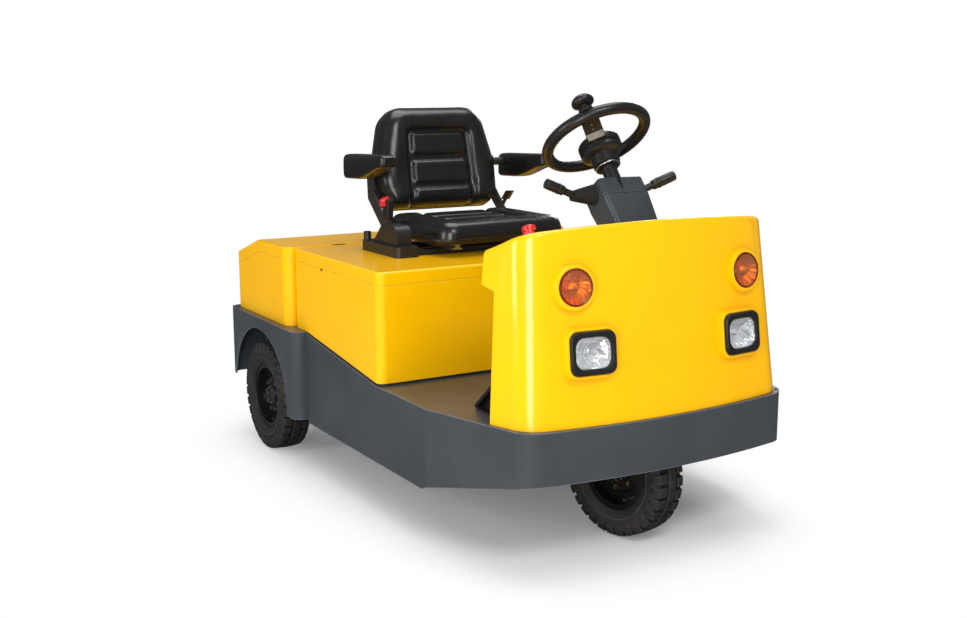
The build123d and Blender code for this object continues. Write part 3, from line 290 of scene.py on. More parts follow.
def cut_crosses(material, pitch):
    """Painted shade in the gaps between lugs, and crosses cut down the crown with painted shade in
    them, one in each lug pitch of its map.
    """
    tree = material.node_tree
    shader = tree.nodes["Principled BSDF"]
    lug_gap_shade = node(tree, "ShaderNodeAttribute", attribute_name="lug_gap_shade")
    where = node(tree, "ShaderNodeUVMap", uv_map="tread")
    apart = node(tree, "ShaderNodeSeparateXYZ")
    tree.links.new(where.outputs["UV"], apart.inputs["Vector"])
    across = maths(tree, "MULTIPLY", maths(tree, "SUBTRACT", apart.outputs["X"], 0.5), 100.0)
    along = maths(tree, "SUBTRACT", maths(tree, "FRACT", apart.outputs["Y"]), 0.5)
    across = maths(tree, "ABSOLUTE", across)
    along = maths(tree, "ABSOLUTE", maths(tree, "MULTIPLY", along, pitch))
    arm = maths(tree, "ABSOLUTE", maths(tree, "SUBTRACT", across, along))
    inside = maths(tree, "MULTIPLY", maths(tree, "LESS_THAN", arm, 2.4),
                   maths(tree, "LESS_THAN", across, 8.5))
    # Painted shade: the lug gaps and the cut crosses are mixed towards near-black.
    groove_shade = node(tree, "ShaderNodeMix", data_type="RGBA")
    groove_shade.inputs["B"].default_value = srgb(12, 12, 12)
    colour_link = shader.inputs["Base Color"].links[0]
    tree.links.new(colour_link.from_socket, groove_shade.inputs["A"])
    shade = maths(tree, "ADD", maths(tree, "MULTIPLY", lug_gap_shade.outputs["Fac"], 0.8), inside,
                  clamp=True)
    tree.links.new(shade, groove_shade.inputs["Factor"])
    tree.links.new(groove_shade.outputs["Result"], shader.inputs["Base Color"])
    bump = node(tree, "ShaderNodeBump", in_Strength=1.0, in_Distance=0.004, invert=True)
    tree.links.new(inside, bump.inputs["Height"])
    tree.links.new(shader.inputs["Normal"].links[0].from_socket, bump.inputs["Normal"])
    tree.links.new(bump.outputs["Normal"], shader.inputs["Normal"])


cut_crosses(tyre_rubber, 43.35)


def clear_material(name, colour, ribs, rib_height, clear):
    """See-through lens with moulded concentric ribs."""
    material = bpy.data.materials.new(name)
    material.use_nodes = True
    tree = material.node_tree
    shader = tree.nodes["Principled BSDF"]
    shader.inputs["Transmission Weight"].default_value = clear
    shader.inputs["IOR"].default_value = 1.46
    where = node(tree, "ShaderNodeUVMap", uv_map="lens")
    wave = node(tree, "ShaderNodeTexWave", wave_type="RINGS", rings_direction="SPHERICAL",
                in_Scale=ribs, in_Distortion=0.0)
    tree.links.new(where.outputs["UV"], wave.inputs["Vector"])
    tint = node(tree, "ShaderNodeMix", data_type="RGBA")
    tint.inputs["A"].default_value = colour
    tint.inputs["B"].default_value = tuple(c * 0.86 for c in colour[:3]) + (1.0,)
    tree.links.new(wave.outputs["Fac"], tint.inputs["Factor"])
    tree.links.new(tint.outputs["Result"], shader.inputs["Base Color"])
    rough = node(tree, "ShaderNodeMapRange", in_To_Min=0.02, in_To_Max=0.07)
    tree.links.new(wave.outputs["Fac"], rough.inputs["Value"])
    tree.links.new(rough.outputs["Result"], shader.inputs["Roughness"])
    bump = node(tree, "ShaderNodeBump", in_Strength=0.6, in_Distance=rib_height)
    tree.links.new(wave.outputs["Fac"], bump.inputs["Height"])
    tree.links.new(bump.outputs["Normal"], shader.inputs["Normal"])
    return material


amber_glass = clear_material("amber_lens", (1.0, 0.80, 0.40, 1.0), 3.2, 0.0004, 0.96)
clear_glass = clear_material("clear_lens", (0.98, 0.985, 0.99, 1.0), 1.4, 0.0003, 0.9)

# Finishes of the frame's own nodes
finishes = {
    "yellow_paint": yellow, "grey_paint": grey, "frame_paint": frame_black,
    "floor_coat": floor_coat, "battery_case": battery_case, "seal_rubber": rubber_seal,
    "tyre_rubber": tyre_rubber, "rim_paint": rim_paint, "black_plastic": black_plastic,
    "column_plastic": column_plastic, "vinyl": vinyl, "bright_steel": bright_steel,
    "red_plastic": red_plastic, "amber_lens": amber_glass, "clear_lens": clear_glass,
    "hitch_steel": frame_black,
}
for part in frame["record"]["subparts"]:
    target = nodes[part["node"]]
    material = finishes[part["material_slot"]]
    if not target.material_slots:
        target.data.materials.append(material)
    for socket in target.material_slots:
        socket.material = material
for name in ("steering_wheel", "spinner_knob", "column_tube"):
    for socket in nodes[name].material_slots:
        socket.material = ring_plastic


# Mesh helpers
def link(name, data):
    """New object in the scene, at the origin."""
    made = bpy.data.objects.new(name, data)
    bpy.context.scene.collection.objects.link(made)
    return made


def finish_mesh(name, bm, material, smooth=True):
    """Object from an edited mesh, with its material and shading."""
    mesh = bpy.data.meshes.new(name)
    bm.to_mesh(mesh)
    bm.free()
    mesh.materials.append(material)
    for polygon in mesh.polygons:
        polygon.use_smooth = smooth
        polygon.material_index = 0
    return link(name, mesh)


def mesh_object(name, verts, faces, material, smooth=True):
    """Object at the origin from world coordinates in metres."""
    mesh = bpy.data.meshes.new(name)
    mesh.from_pydata([tuple(v) for v in verts], [], [tuple(f) for f in faces])
    mesh.validate()
    mesh.materials.append(material)
    bm = bmesh.new()
    bm.from_mesh(mesh)
    bmesh.ops.recalc_face_normals(bm, faces=bm.faces)
    bm.to_mesh(mesh)
    bm.free()
    for polygon in mesh.polygons:
        polygon.use_smooth = smooth
    return link(name, mesh)


def weld(made):
    """Merges a mesh's doubled points and turns its faces outwards."""
    bm = bmesh.new()
    bm.from_mesh(made.data)
    bmesh.ops.remove_doubles(bm, verts=bm.verts, dist=1e-6)
    bmesh.ops.recalc_face_normals(bm, faces=bm.faces)
    bm.to_mesh(made.data)
    bm.free()
    return made


def sharpen(made, angle=32.0):
    """Marks edges over an angle sharp, so flats stay flat beside smooth curves."""
    bm = bmesh.new()
    bm.from_mesh(made.data)
    for edge in bm.edges:
        flat = len(edge.link_faces) == 2 and edge.calc_face_angle(0) < math.radians(angle)
        edge.smooth = flat
    bm.to_mesh(made.data)
    bm.free()
    return made


def place(made, body):
    """Piece rides on a body."""
    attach(made, body)
    return made


def basis(origin, normal, up=(0, 0, 1)):
    """Matrix whose Z is the normal and whose X lies level, placed at the origin."""
    z = Vector(normal).normalized()
    x = Vector(up).cross(z)
    x = Vector((1, 0, 0)) if x.length < 1e-6 else x.normalized()
    y = z.cross(x)
    matrix = Matrix((x, y, z)).transposed().to_4x4()
    matrix.translation = Vector(origin)
    return matrix


def lathe_object(name, profile, count, matrix, material):
    """Profile of radius and height turned about the matrix's Z, its poles welded shut."""
    verts, faces = [], []
    rows = len(profile)
    for k in range(count):
        a = TAU * k / count
        for r, h in profile:
            verts.append(matrix @ Vector((r * math.cos(a), r * math.sin(a), h)))
    for k in range(count):
        for j in range(rows - 1):
            a, b = k * rows + j, ((k + 1) % count) * rows + j
            faces.append((a, b, b + 1, a + 1))
    return sharpen(weld(mesh_object(name, verts, faces, material)))


def turned(body, slot, *lathe_values):
    """Turned piece that rides on a body; its slot is not used."""
    return place(lathe_object(*lathe_values), body)


def loft(name, levels, matrix, material, ring=False):
    """Piece through outlines at their heights: capped at both ends, or closed as a ring."""
    count = len(levels[0][0])
    verts = [matrix @ Vector((x, y, h)) for outline, h in levels for x, y in outline]
    faces = []
    for j in range(len(levels) if ring else len(levels) - 1):
        low, high = j * count, (j + 1) % len(levels) * count
        for i in range(count):
            k = (i + 1) % count
            faces.append((low + i, low + k, high + k, high + i))
    if not ring:
        faces.append(tuple(range(count)))
        faces.append(tuple((len(levels) - 1) * count + i for i in range(count)))
    return sharpen(mesh_object(name, verts, faces, material))


def circle(radius, count=48, middle=(0.0, 0.0)):
    """Points of a round outline."""
    return [
        (middle[0] + radius * math.cos(TAU * i / count),
         middle[1] + radius * math.sin(TAU * i / count)) for i in range(count)
    ]


def oblong(half_w, half_h, radius, middle=(0.0, 0.0)):
    """Points of a rectangle with rounded corners."""
    x, y = middle
    corners = [(x - half_w, y - half_h), (x + half_w, y - half_h),
               (x + half_w, y + half_h), (x - half_w, y + half_h)]
    return [tuple(point) for point in rounded_outline(corners, [radius] * 4)]


def recast(name, source, material, long_x, move, body="chassis"):
    """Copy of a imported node's mesh, its long edges in front parted and its points moved."""
    bm = bmesh.new()
    bm.from_mesh(nodes[source].data)
    bm.transform(nodes[source].matrix_world)
    bmesh.ops.remove_doubles(bm, verts=bm.verts, dist=1e-6)
    for _ in range(8):
        long_edges = [
            edge for edge in bm.edges if min(v.co.y for v in edge.verts) < -0.6
            and abs(edge.verts[0].co.x - edge.verts[1].co.x) > long_x
        ]
        if not long_edges:
            break
        bmesh.ops.subdivide_edges(bm, edges=long_edges, cuts=1)
        bmesh.ops.triangulate(bm, faces=[face for face in bm.faces if len(face.verts) > 3])
    for vert in bm.verts:
        vert.co = move(vert.co)
    made = sharpen(finish_mesh(name, bm, material), 40.0)
    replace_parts(place(made, body), source)
    return made


def bolt_mesh(name, across, height, material, round_head=False):
    """Hexagon or domed head standing on its local XY plane, as a template mesh."""
    bm = bmesh.new()
    if round_head:
        steps = [(1.0, 0.0), (0.98, 0.35), (0.8, 0.75), (0.45, 0.95), (0.0, 1.0)]
        sides = 14
    else:
        steps = [(1.0, 0.0), (1.0, 0.82), (0.88, 1.0), (0.0, 1.0)]
        sides = 6
    rings = []
    for share, rise in steps:
        if share == 0.0:
            rings.append([bm.verts.new((0, 0, height * rise))])
            continue
        rings.append([
            bm.verts.new((
                across / 2 * share * math.cos(TAU * i / sides),
                across / 2 * share * math.sin(TAU * i / sides), height * rise,
            ))
            for i in range(sides)
        ])
    for low, high in zip(rings, rings[1:]):
        for i in range(sides):
            j = (i + 1) % sides
            if len(high) == 1:
                bm.faces.new((low[i], low[j], high[0]))
            else:
                bm.faces.new((low[i], low[j], high[j], high[i]))
    bm.faces.new(list(reversed(rings[0])))
    mesh = bpy.data.meshes.new(name)
    bm.to_mesh(mesh)
    bm.free()
    mesh.materials.append(material)
    return mesh


def repeat_tree(name, material):
    """Geometry nodes that put a template on every point and realise it."""
    tree = bpy.data.node_groups.new(name, "GeometryNodeTree")
    tree.interface.new_socket("Geometry", in_out="INPUT", socket_type="NodeSocketGeometry")
    tree.interface.new_socket("Template", in_out="INPUT", socket_type="NodeSocketObject")
    tree.interface.new_socket("Geometry", in_out="OUTPUT", socket_type="NodeSocketGeometry")
    entry = tree.nodes.new("NodeGroupInput")
    leave = tree.nodes.new("NodeGroupOutput")
    info = tree.nodes.new("GeometryNodeObjectInfo")
    spread = tree.nodes.new("GeometryNodeInstanceOnPoints")
    turn = tree.nodes.new("FunctionNodeAlignRotationToVector")
    turn.axis = "Z"
    normal = tree.nodes.new("GeometryNodeInputNamedAttribute")
    normal.data_type = "FLOAT_VECTOR"
    normal.inputs["Name"].default_value = "facing"
    real = tree.nodes.new("GeometryNodeRealizeInstances")
    paint = tree.nodes.new("GeometryNodeSetMaterial")
    paint.inputs["Material"].default_value = material
    links = tree.links
    links.new(entry.outputs["Geometry"], spread.inputs["Points"])
    links.new(entry.outputs["Template"], info.inputs["Object"])
    links.new(info.outputs["Geometry"], spread.inputs["Instance"])
    links.new(normal.outputs["Attribute"], turn.inputs["Vector"])
    links.new(turn.outputs["Rotation"], spread.inputs["Rotation"])
    links.new(spread.outputs["Instances"], real.inputs["Geometry"])
    links.new(real.outputs["Geometry"], paint.inputs["Geometry"])
    links.new(paint.outputs["Geometry"], leave.inputs["Geometry"])
    return tree


def scatter(name, points, facings, template_mesh, material):
    """One piece made of a template repeated at points, each turned to its facing."""
    mesh = bpy.data.meshes.new(name + "_points")
    mesh.from_pydata([tuple(p) for p in points], [], [])
    facing = mesh.attributes.new("facing", "FLOAT_VECTOR", "POINT")
    facing.data.foreach_set("vector", [c for f in facings for c in Vector(f).normalized()])
    holder, template = link(name + "_holder", mesh), link(name + "_template", template_mesh)
    tree = repeat_tree(name + "_nodes", material)
    modifier = holder.modifiers.new("repeat", "NODES")
    modifier.node_group = tree
    socket = next(s for s in tree.interface.items_tree if s.name == "Template")
    modifier[socket.identifier] = template
    graph = bpy.context.evaluated_depsgraph_get()
    graph.update()
    result = bpy.data.meshes.new_from_object(holder.evaluated_get(graph))
    for spent in (holder, template):
        bpy.data.objects.remove(spent)
    return link(name, result)


# Padded seat parts
def rounded_outline(points, radii, steps=8):
    """Closed outline through points in order, each corner rounded by its radius."""
    result = []
    count = len(points)
    for i, (point, radius) in enumerate(zip(points, radii)):
        here = Vector(point)
        before = (Vector(points[i - 1]) - here).normalized()
        after = (Vector(points[(i + 1) % count]) - here).normalized()
        half = before.angle(after) / 2
        if radius <= 0 or half > math.radians(89.5):
            result.append(tuple(here))
            continue
        reach = radius / math.tan(half)
        centre = here + (before + after).normalized() * radius / math.sin(half)
        start, end = here + before * reach - centre, here + after * reach - centre
        sweep = start.angle_signed(end)
        for k in range(steps + 1):
            turned = start.copy()
            turned.rotate(Matrix.Rotation(-sweep * k / steps, 2))
            result.append(tuple(centre + turned))
    return np.array(result)


def edge_distance(x, y, outline):
    """Distance from points to the outline's nearest edge."""
    best = np.full(x.shape, 1e9)
    for (ax, ay), (bx, by) in zip(outline, np.roll(outline, -1, axis=0)):
        dx, dy = bx - ax, by - ay
        t = np.clip(((x - ax) * dx + (y - ay) * dy) / (dx * dx + dy * dy + 1e-18), 0, 1)
        best = np.minimum(best, np.hypot(x - ax - t * dx, y - ay - t * dy))
    return best


def spaced(count, ends=0.55):
    """Numbers from 0 to 1 that lie closer together at both ends."""
    t = np.linspace(0, 1, count)
    return (1 - ends) * t + ends * (0.5 - 0.5 * np.cos(np.pi * t))


def pad_mesh(name, outline, thickness, radius, pitch, matrix, material, crest, reach):
    """Closed pad over an outline: round-edged front, a side wall and a flat back."""
    low, high = outline[:, 1].min(), outline[:, 1].max()
    wide = outline[:, 0].max() - outline[:, 0].min()
    nu = int(wide / pitch) + 1
    nv = int((high - low) / pitch) + 1
    rows = low + (high - low) * spaced(nv)
    right = np.zeros(nv)
    for j, row in enumerate(rows):
        row = min(max(row, low + 1e-5), high - 1e-5)
        hits = []
        for (ax, ay), (bx, by) in zip(outline, np.roll(outline, -1, axis=0)):
            if (ay - row) * (by - row) <= 0 and ay != by:
                hits.append(ax + (bx - ax) * (row - ay) / (by - ay))
        right[j] = max(hits)
    x = np.outer(right, 2 * spaced(nu) - 1)
    y = np.outer(rows, np.ones(nu))
    inside = edge_distance(x, y, outline)
    inside[0, :] = inside[-1, :] = 0
    inside[:, 0] = inside[:, -1] = 0
    d = np.minimum(inside, radius)
    z = thickness - radius + np.sqrt(np.maximum(radius**2 - (radius - d) ** 2, 0))
    z += crest * np.sin(np.clip(inside / reach, 0, 1) * np.pi)
    for _ in range(6):
        z[1:-1, 1:-1] = 0.5 * z[1:-1, 1:-1] + 0.125 * (
            z[:-2, 1:-1] + z[2:, 1:-1] + z[1:-1, :-2] + z[1:-1, 2:]
        )
    front = np.stack([x, y, z], axis=-1).reshape(-1, 3)
    ring = (
        [(0, i) for i in range(nu)] + [(j, nu - 1) for j in range(1, nv)]
        + [(nv - 1, i) for i in range(nu - 2, -1, -1)] + [(j, 0) for j in range(nv - 2, 0, -1)]
    )
    ring_index = [j * nu + i for j, i in ring]
    levels = max(2, int((thickness - radius) / pitch) + 1)
    verts = [front]
    loops = [ring_index]
    count = len(front)
    for k in range(1, levels):
        level = front[ring_index].copy()
        level[:, 2] *= 1 - k / levels
        verts.append(level)
        loops.append(list(range(count, count + len(ring))))
        count += len(ring)
    back = front.copy()
    back[:, 2] = 0.0
    verts.append(back)
    loops.append([count + i for i in ring_index])
    faces = []
    for j in range(nv - 1):
        for i in range(nu - 1):
            a = j * nu + i
            faces.append((a, a + 1, a + nu + 1, a + nu))
            faces.append((count + a, count + a + nu, count + a + nu + 1, count + a + 1))
    for upper, lower in zip(loops, loops[1:]):
        for i in range(len(ring)):
            j = (i + 1) % len(ring)
            faces.append((upper[j], upper[i], lower[i], lower[j]))
    local = np.concatenate(verts)
    world = local @ np.array(matrix.to_3x3()).T + np.array(matrix.translation)
    made = mesh_object(name, world, faces, material)
    made["front_count"] = len(front)
    return made


def mesh_coords(mesh):
    """Vertex coordinates as an array."""
    co = np.zeros(len(mesh.vertices) * 3, np.float32)
    mesh.vertices.foreach_get("co", co)
    return co.reshape(-1, 3).astype(float)


def inflate(made, matrix, pressure, cap, held_below):
    """Foam pressing its cover outwards: cloth under pressure, its movement capped."""
    scene = bpy.context.scene
    rest = mesh_coords(made.data)
    inverse = np.array(matrix.inverted())
    local = rest @ inverse[:3, :3].T + inverse[:3, 3]
    pinned = made.vertex_groups.new(name="held")
    pinned.add([int(i) for i in np.nonzero(local[:, 2] <= held_below)[0]], 1.0, "REPLACE")
    cloth = made.modifiers.new("press", "CLOTH")
    settings = cloth.settings
    settings.quality = 5
    settings.use_pressure = True
    settings.uniform_pressure_force = pressure
    settings.tension_stiffness = 20
    settings.compression_stiffness = 20
    settings.bending_stiffness = 2.0
    settings.vertex_group_mass = "held"
    settings.effector_weights.gravity = 0
    cloth.collision_settings.use_collision = False
    cloth.collision_settings.use_self_collision = False
    cloth.point_cache.frame_start = 1
    cloth.point_cache.frame_end = 20
    for number in range(1, 21):
        scene.frame_set(number)
    graph = bpy.context.evaluated_depsgraph_get()
    moved_mesh = made.evaluated_get(graph).to_mesh()
    moved = mesh_coords(moved_mesh)
    made.evaluated_get(graph).to_mesh_clear()
    step = moved - rest
    length = np.linalg.norm(step, axis=1, keepdims=True)
    step *= np.minimum(1.0, cap / np.maximum(length, 1e-9))
    ends = np.zeros(len(made.data.edges) * 2, np.int32)
    made.data.edges.foreach_get("vertices", ends)
    ends = ends.reshape(-1, 2)
    shared = np.bincount(ends.ravel(), minlength=len(step))[:, None]
    for _ in range(25):
        near = np.zeros_like(step)
        np.add.at(near, ends[:, 0], step[ends[:, 1]])
        np.add.at(near, ends[:, 1], step[ends[:, 0]])
        step = 0.4 * step + 0.6 * near / shared
    made.modifiers.remove(cloth)
    made.data.vertices.foreach_set("co", (rest + step).astype(np.float32).ravel())
    made.data.update()
    made.vertex_groups.clear()
    scene.frame_set(1)
    return made


def smooth_step(value, low, high):
    """Smooth change from 0 at low to 1 at high."""
    t = np.clip((value - low) / (high - low), 0, 1)
    return t * t * (3 - 2 * t)


def box_field(x, y, cx, cy, half_x, half_y, radius):
    """Signed distance to a rounded rectangle, negative inside."""
    qx = np.abs(x - cx) - half_x + radius
    qy = np.abs(y - cy) - half_y + radius
    outside = np.hypot(np.maximum(qx, 0), np.maximum(qy, 0))
    return outside + np.minimum(np.maximum(qx, qy), 0) - radius


def sew(made, matrix, relief):
    """Pushes the front of a pad in by a relief over its own plane."""
    inverse = np.array(matrix.inverted())
    rest = mesh_coords(made.data)
    local = rest @ inverse[:3, :3].T + inverse[:3, 3]
    count = made["front_count"]
    local[:count, 2] += relief(local[:count, 0], local[:count, 1])
    forward = np.array(matrix)
    world = local @ forward[:3, :3].T + forward[:3, 3]
    made.data.vertices.foreach_set("co", world.astype(np.float32).ravel())
    made.data.update()


def subdivide(made, levels=1):
    """Applies a subdivision surface."""
    made.modifiers.new("smooth", "SUBSURF").levels = levels
    graph = bpy.context.evaluated_depsgraph_get()
    graph.update()
    mesh = bpy.data.meshes.new_from_object(made.evaluated_get(graph))
    made.modifiers.clear()
    old = made.data
    made.data = mesh
    bpy.data.meshes.remove(old)
    for polygon in made.data.polygons:
        polygon.use_smooth = True


# Backrest cushion: thick bolster round a sunk panel with three pillows
lean = math.radians(12.0)
back_thick, back_foot_y, back_foot_z = 0.076, 0.324, 0.932
back_matrix = Matrix((
    (1, 0, 0, 0.0),
    (0, math.sin(lean), -math.cos(lean), back_foot_y + back_thick * math.cos(lean)),
    (0, math.cos(lean), math.sin(lean), back_foot_z - back_thick * math.sin(lean)),
    (0, 0, 0, 1),
))
back_h = 0.383
back_corners = [(0.220, 0.002), (0.251, 0.27 * back_h), (0.251, 0.45 * back_h), (0.202, 0.381)]
back_radii = [0.038, 0.15, 0.2, 0.09]
back_line = rounded_outline(
    [(-x, y) for x, y in back_corners[:1]] + back_corners
    + [(-x, y) for x, y in reversed(back_corners[1:])],
    back_radii[:1] + back_radii + back_radii[:0:-1],
)
backrest = pad_mesh(
    "backrest_pad", back_line, 0.070, 0.040, 0.0062, back_matrix, vinyl, 0.007, 0.10,
)
inflate(backrest, back_matrix, 4.0, 0.004, 0.02)


def back_relief(x, y):
    """Sunk panel, its pillows and the sewn lines between them."""
    narrow = 1 + 0.09 * (y / back_h)
    panel = box_field(x * narrow, y, 0, 0.147, 0.147, 0.152, 0.030)
    depth = -0.017 * smooth_step(-panel, -0.008, 0.012)
    for centre, half in ((0.239, 0.044), (0.133, 0.046), (0.037, 0.037)):
        pillow = box_field(x * narrow, y, 0, centre, 0.125, half, 0.016)
        depth += 0.0125 * smooth_step(-pillow, -0.002, 0.013)
    return depth


sew(backrest, back_matrix, back_relief)
subdivide(backrest)
place(backrest, "battery_lid")
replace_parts(backrest, "backrest_cushion")

# Seat cushion: bolster in front and at the sides, pillows in a sunk middle
seat_front, seat_rear, seat_foot = -0.115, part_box("seat_cushion")[1].y, 0.862
seat_depth = seat_rear - seat_front
seat_matrix = Matrix((
    (1, 0, 0, 0.0), (0, 1, 0, seat_front), (0, 0, 1, seat_foot), (0, 0, 0, 1),
))
seat_line = rounded_outline(
    [(-0.254, 0.002), (0.254, 0.002), (0.254, seat_depth), (-0.254, seat_depth)],
    [0.062, 0.062, 0.03, 0.03],
)
cushion = pad_mesh(
    "seat_pad", seat_line, 0.053, 0.030, 0.0062, seat_matrix, vinyl, 0.006, 0.09,
)
inflate(cushion, seat_matrix, 4.0, 0.0035, 0.012)


def seat_relief(x, y):
    """Sunk middle open at the back, its pillows and channels."""
    panel = box_field(x, y, 0, 0.285, 0.155, 0.170, 0.03)
    depth = -0.015 * smooth_step(-panel, -0.006, 0.014)
    for centre, half in ((0.172, 0.040), (0.265, 0.040), (0.358, 0.040)):
        pillow = box_field(x, y, 0, centre, 0.132, half, 0.014)
        depth += 0.010 * smooth_step(-pillow, -0.002, 0.011)
    return depth


sew(cushion, seat_matrix, seat_relief)
subdivide(cushion)
place(cushion, "battery_lid")
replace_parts(cushion, "seat_cushion")


base_height = 0.036
base_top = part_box("seat_base")[0].z + base_height


def low_left_base(point):
    """Keeps the right housing's arched cover; the left housing is plain and low."""
    return Vector((point.x, point.y, min(point.z, base_top) if point.x > 0.18 else point.z))


recast("seat_base_shell", "seat_base", black_plastic, 1.0, low_left_base,
       "battery_lid")
belt_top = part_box("belt_ends")[1].z
handle_height, handle_shift, handle_lean = 0.084, 0.135, 0.95


def lean_handle(point):
    """Leans the left handle forwards from its foot behind the seat."""
    x, y, z = point
    if x < 0:
        return Vector(point)
    rise = max(0.0, z - belt_top + handle_height)
    return Vector((x, y + handle_shift - handle_lean * rise, z))


recast("belt_end_shells", "belt_ends", black_plastic, 1.0, lean_handle,
       "battery_lid")
buckle_top = loft(
    "buckle_button",
    [(oblong(0.0115 - inset, 0.020 - inset, 0.004), h) for inset, h in (
        (0.0, 0.0), (0.0, 0.020), (0.0012, 0.0235), (0.004, 0.025))],
    basis((-0.290, 0.261, 0.957), (-0.2, -0.15, 1)), red_plastic,
)
place(buckle_top, "battery_lid")


def seam_shade_strip(name, node_name, height, thick, radius, body):
    """Near-black strip in the seam between a body and its lid, standing in as painted shade for
    the gap.
    """
    low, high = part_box(node_name)
    half_x, half_y = (high.x - low.x) / 2 - 0.0007, (high.y - low.y) / 2 - 0.0007
    middle = ((high.x + low.x) / 2, (high.y + low.y) / 2)
    levels = []
    for inset, h in ((0.0, 0.0), (0.0, thick), (0.003, thick), (0.003, 0.0)):
        levels.append((oblong(half_x - inset, half_y - inset, radius, middle), height + h))
    return place(loft(name, levels, Matrix(), rubber_seal, ring=True), body)


lid_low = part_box("battery_lid")[0]
# Painted shade: a near-black strip inside the lid's seam gap.
seam_shade_strip("lid_seam", "battery_box", lid_low.z - 0.0022, 0.0026, 0.027, "chassis")


def arm_pad(name, side, top):
    """Tapered armrest pad lofted through rounded sections from front to rear."""
    inner, wide = 0.300, 0.070
    middle = side * (inner + wide / 2)
    front, rear = 0.130, 0.460
    rings, count = [], 40
    stations = np.concatenate([[0.0, 0.004, 0.012, 0.024], np.linspace(0.045, 0.955, 24),
                               [0.976, 0.988, 0.996, 1.0]])
    for t in stations:
        y = front + (rear - front) * t
        end = min(t, 1 - t) * (rear - front)
        tuck = 1 - 0.42 * (1 - min(1.0, end / 0.022)) ** 2
        fall = smooth_step(np.array([t]), 0.0, 0.62)[0]
        height = 0.047 + 0.043 * fall
        crown = top - 0.012 * t - 0.002 * (1 - tuck)
        half_w = (wide / 2 - 0.0015) * tuck
        half_h = height / 2 * tuck
        centre_z = crown - height / 2
        ring = []
        for k in range(count):
            a = TAU * k / count
            c, s = math.cos(a), math.sin(a)
            power = 0.42 if s > 0 else 0.3
            px = half_w * math.copysign(abs(c) ** power, c)
            pz = half_h * math.copysign(abs(s) ** power, s)
            ring.append((middle + px, y, centre_z + pz))
        rings.append(ring)
    verts = [v for ring in rings for v in ring]
    faces = []
    for j in range(len(rings) - 1):
        for k in range(count):
            a, b = j * count + k, j * count + (k + 1) % count
            faces.append((a, b, b + count, a + count))
    faces.append(tuple(reversed(range(count))))
    faces.append(tuple((len(rings) - 1) * count + k for k in range(count)))
    made = mesh_object(name, verts, faces, vinyl)
    subdivide(made)
    return made


for label, side, top in (("right_armrest_pad", -1, 1.143), ("left_armrest_pad", 1, 1.126)):
    pad = arm_pad(label, side, top)
    place(pad, "battery_lid")
    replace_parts(pad, "armrests")


# Tyres with shoulder lugs, a ribbed crown and moulded sidewalls
def tyre_piece(name, cad_node, centre, axis, lugs):
    """Tyre swept round its axle, its section changing between lug and gap."""
    rib = [(0.0, 207.0), (9.0, 206.9), (13.2, 206.5), (14.2, 205.6), (14.8, 198.2), (21.6, 198.0)]
    lug = rib + [
        (22.2, 205.2), (23.2, 206.2), (34.0, 205.5), (47.0, 204.2), (50.0, 202.2),
        (52.0, 196.4), (55.4, 189.0), (57.4, 183.0), (57.8, 177.6), (57.0, 174.6),
    ]
    gap = rib + [
        (22.2, 197.9), (23.2, 197.8), (34.0, 197.2), (44.0, 195.4), (46.4, 192.6),
        (48.6, 188.6), (50.6, 183.0), (52.4, 178.4), (54.2, 175.8), (55.8, 173.8),
    ]
    wall = [
        (56.6, 168.0), (57.4, 160.0), (57.2, 153.0), (56.4, 150.6), (57.3, 149.4), (57.3, 147.6),
        (56.2, 146.2), (54.2, 139.0), (51.0, 131.0), (47.8, 126.4), (47.2, 124.6), (45.8, 122.0),
        (42.4, 120.0), (38.2, 119.2), (38.0, 112.2),
    ]
    right = [(point, other) for point, other in zip(lug + wall, gap + wall)]
    shares = (0.0, 0.140, 0.158, 0.342, 0.360, 0.5, 0.640, 0.658, 0.842, 0.860)
    matrix = basis(centre, axis)
    verts, faces, uvs = [], [], []
    rows = 2 * len(right) - 1
    for k in range(lugs):
        for share in shares:
            a = TAU * (k + share) / lugs
            left_gap, right_gap = not 0.15 < share < 0.85, 0.35 < share < 0.65
            section = [(-pair[left_gap][0], pair[left_gap][1]) for pair in right[:0:-1]]
            section += [pair[right_gap] for pair in right]
            for u, r in section:
                verts.append(matrix @ Vector((
                    r / 1000 * math.cos(a), r / 1000 * math.sin(a), u / 1000,
                )))
                uvs.append((u / 100 + 0.5, k + share))
    columns = lugs * len(shares)
    for k in range(columns):
        nxt = (k + 1) % columns
        for j in range(rows - 1):
            a, b = k * rows + j, nxt * rows + j
            faces.append((a, b, b + 1, a + 1))
        a, b = k * rows, nxt * rows
        faces.append((a + rows - 1, b + rows - 1, b, a))
    made = mesh_object(name, verts, faces, tyre_rubber)
    sharpen(made, 28.0)
    # Painted shade amount: how far each point lies below the lug tops, for darkening the gaps
    # between lugs.
    depth = made.data.attributes.new("lug_gap_shade", "FLOAT", "POINT")
    inverse = matrix.inverted()
    for vert in made.data.vertices:
        p = inverse @ vert.co
        sunk = (204.0 - 1000 * math.hypot(p.x, p.y) - 0.35 * max(0, abs(1000 * p.z) - 40)) / 6
        depth.data[vert.index].value = min(max(sunk, 0.0), 1.0) * (abs(p.z) < 0.047)
    layer = made.data.uv_layers.new(name="tread")
    for polygon in made.data.polygons:
        last = max(uvs[made.data.loops[i].vertex_index][1] for i in polygon.loop_indices)
        for i in polygon.loop_indices:
            u, v = uvs[made.data.loops[i].vertex_index]
            layer.data[i].uv = (u, v if last - v < 1 else v + lugs)
    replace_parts(made, cad_node)
    return made


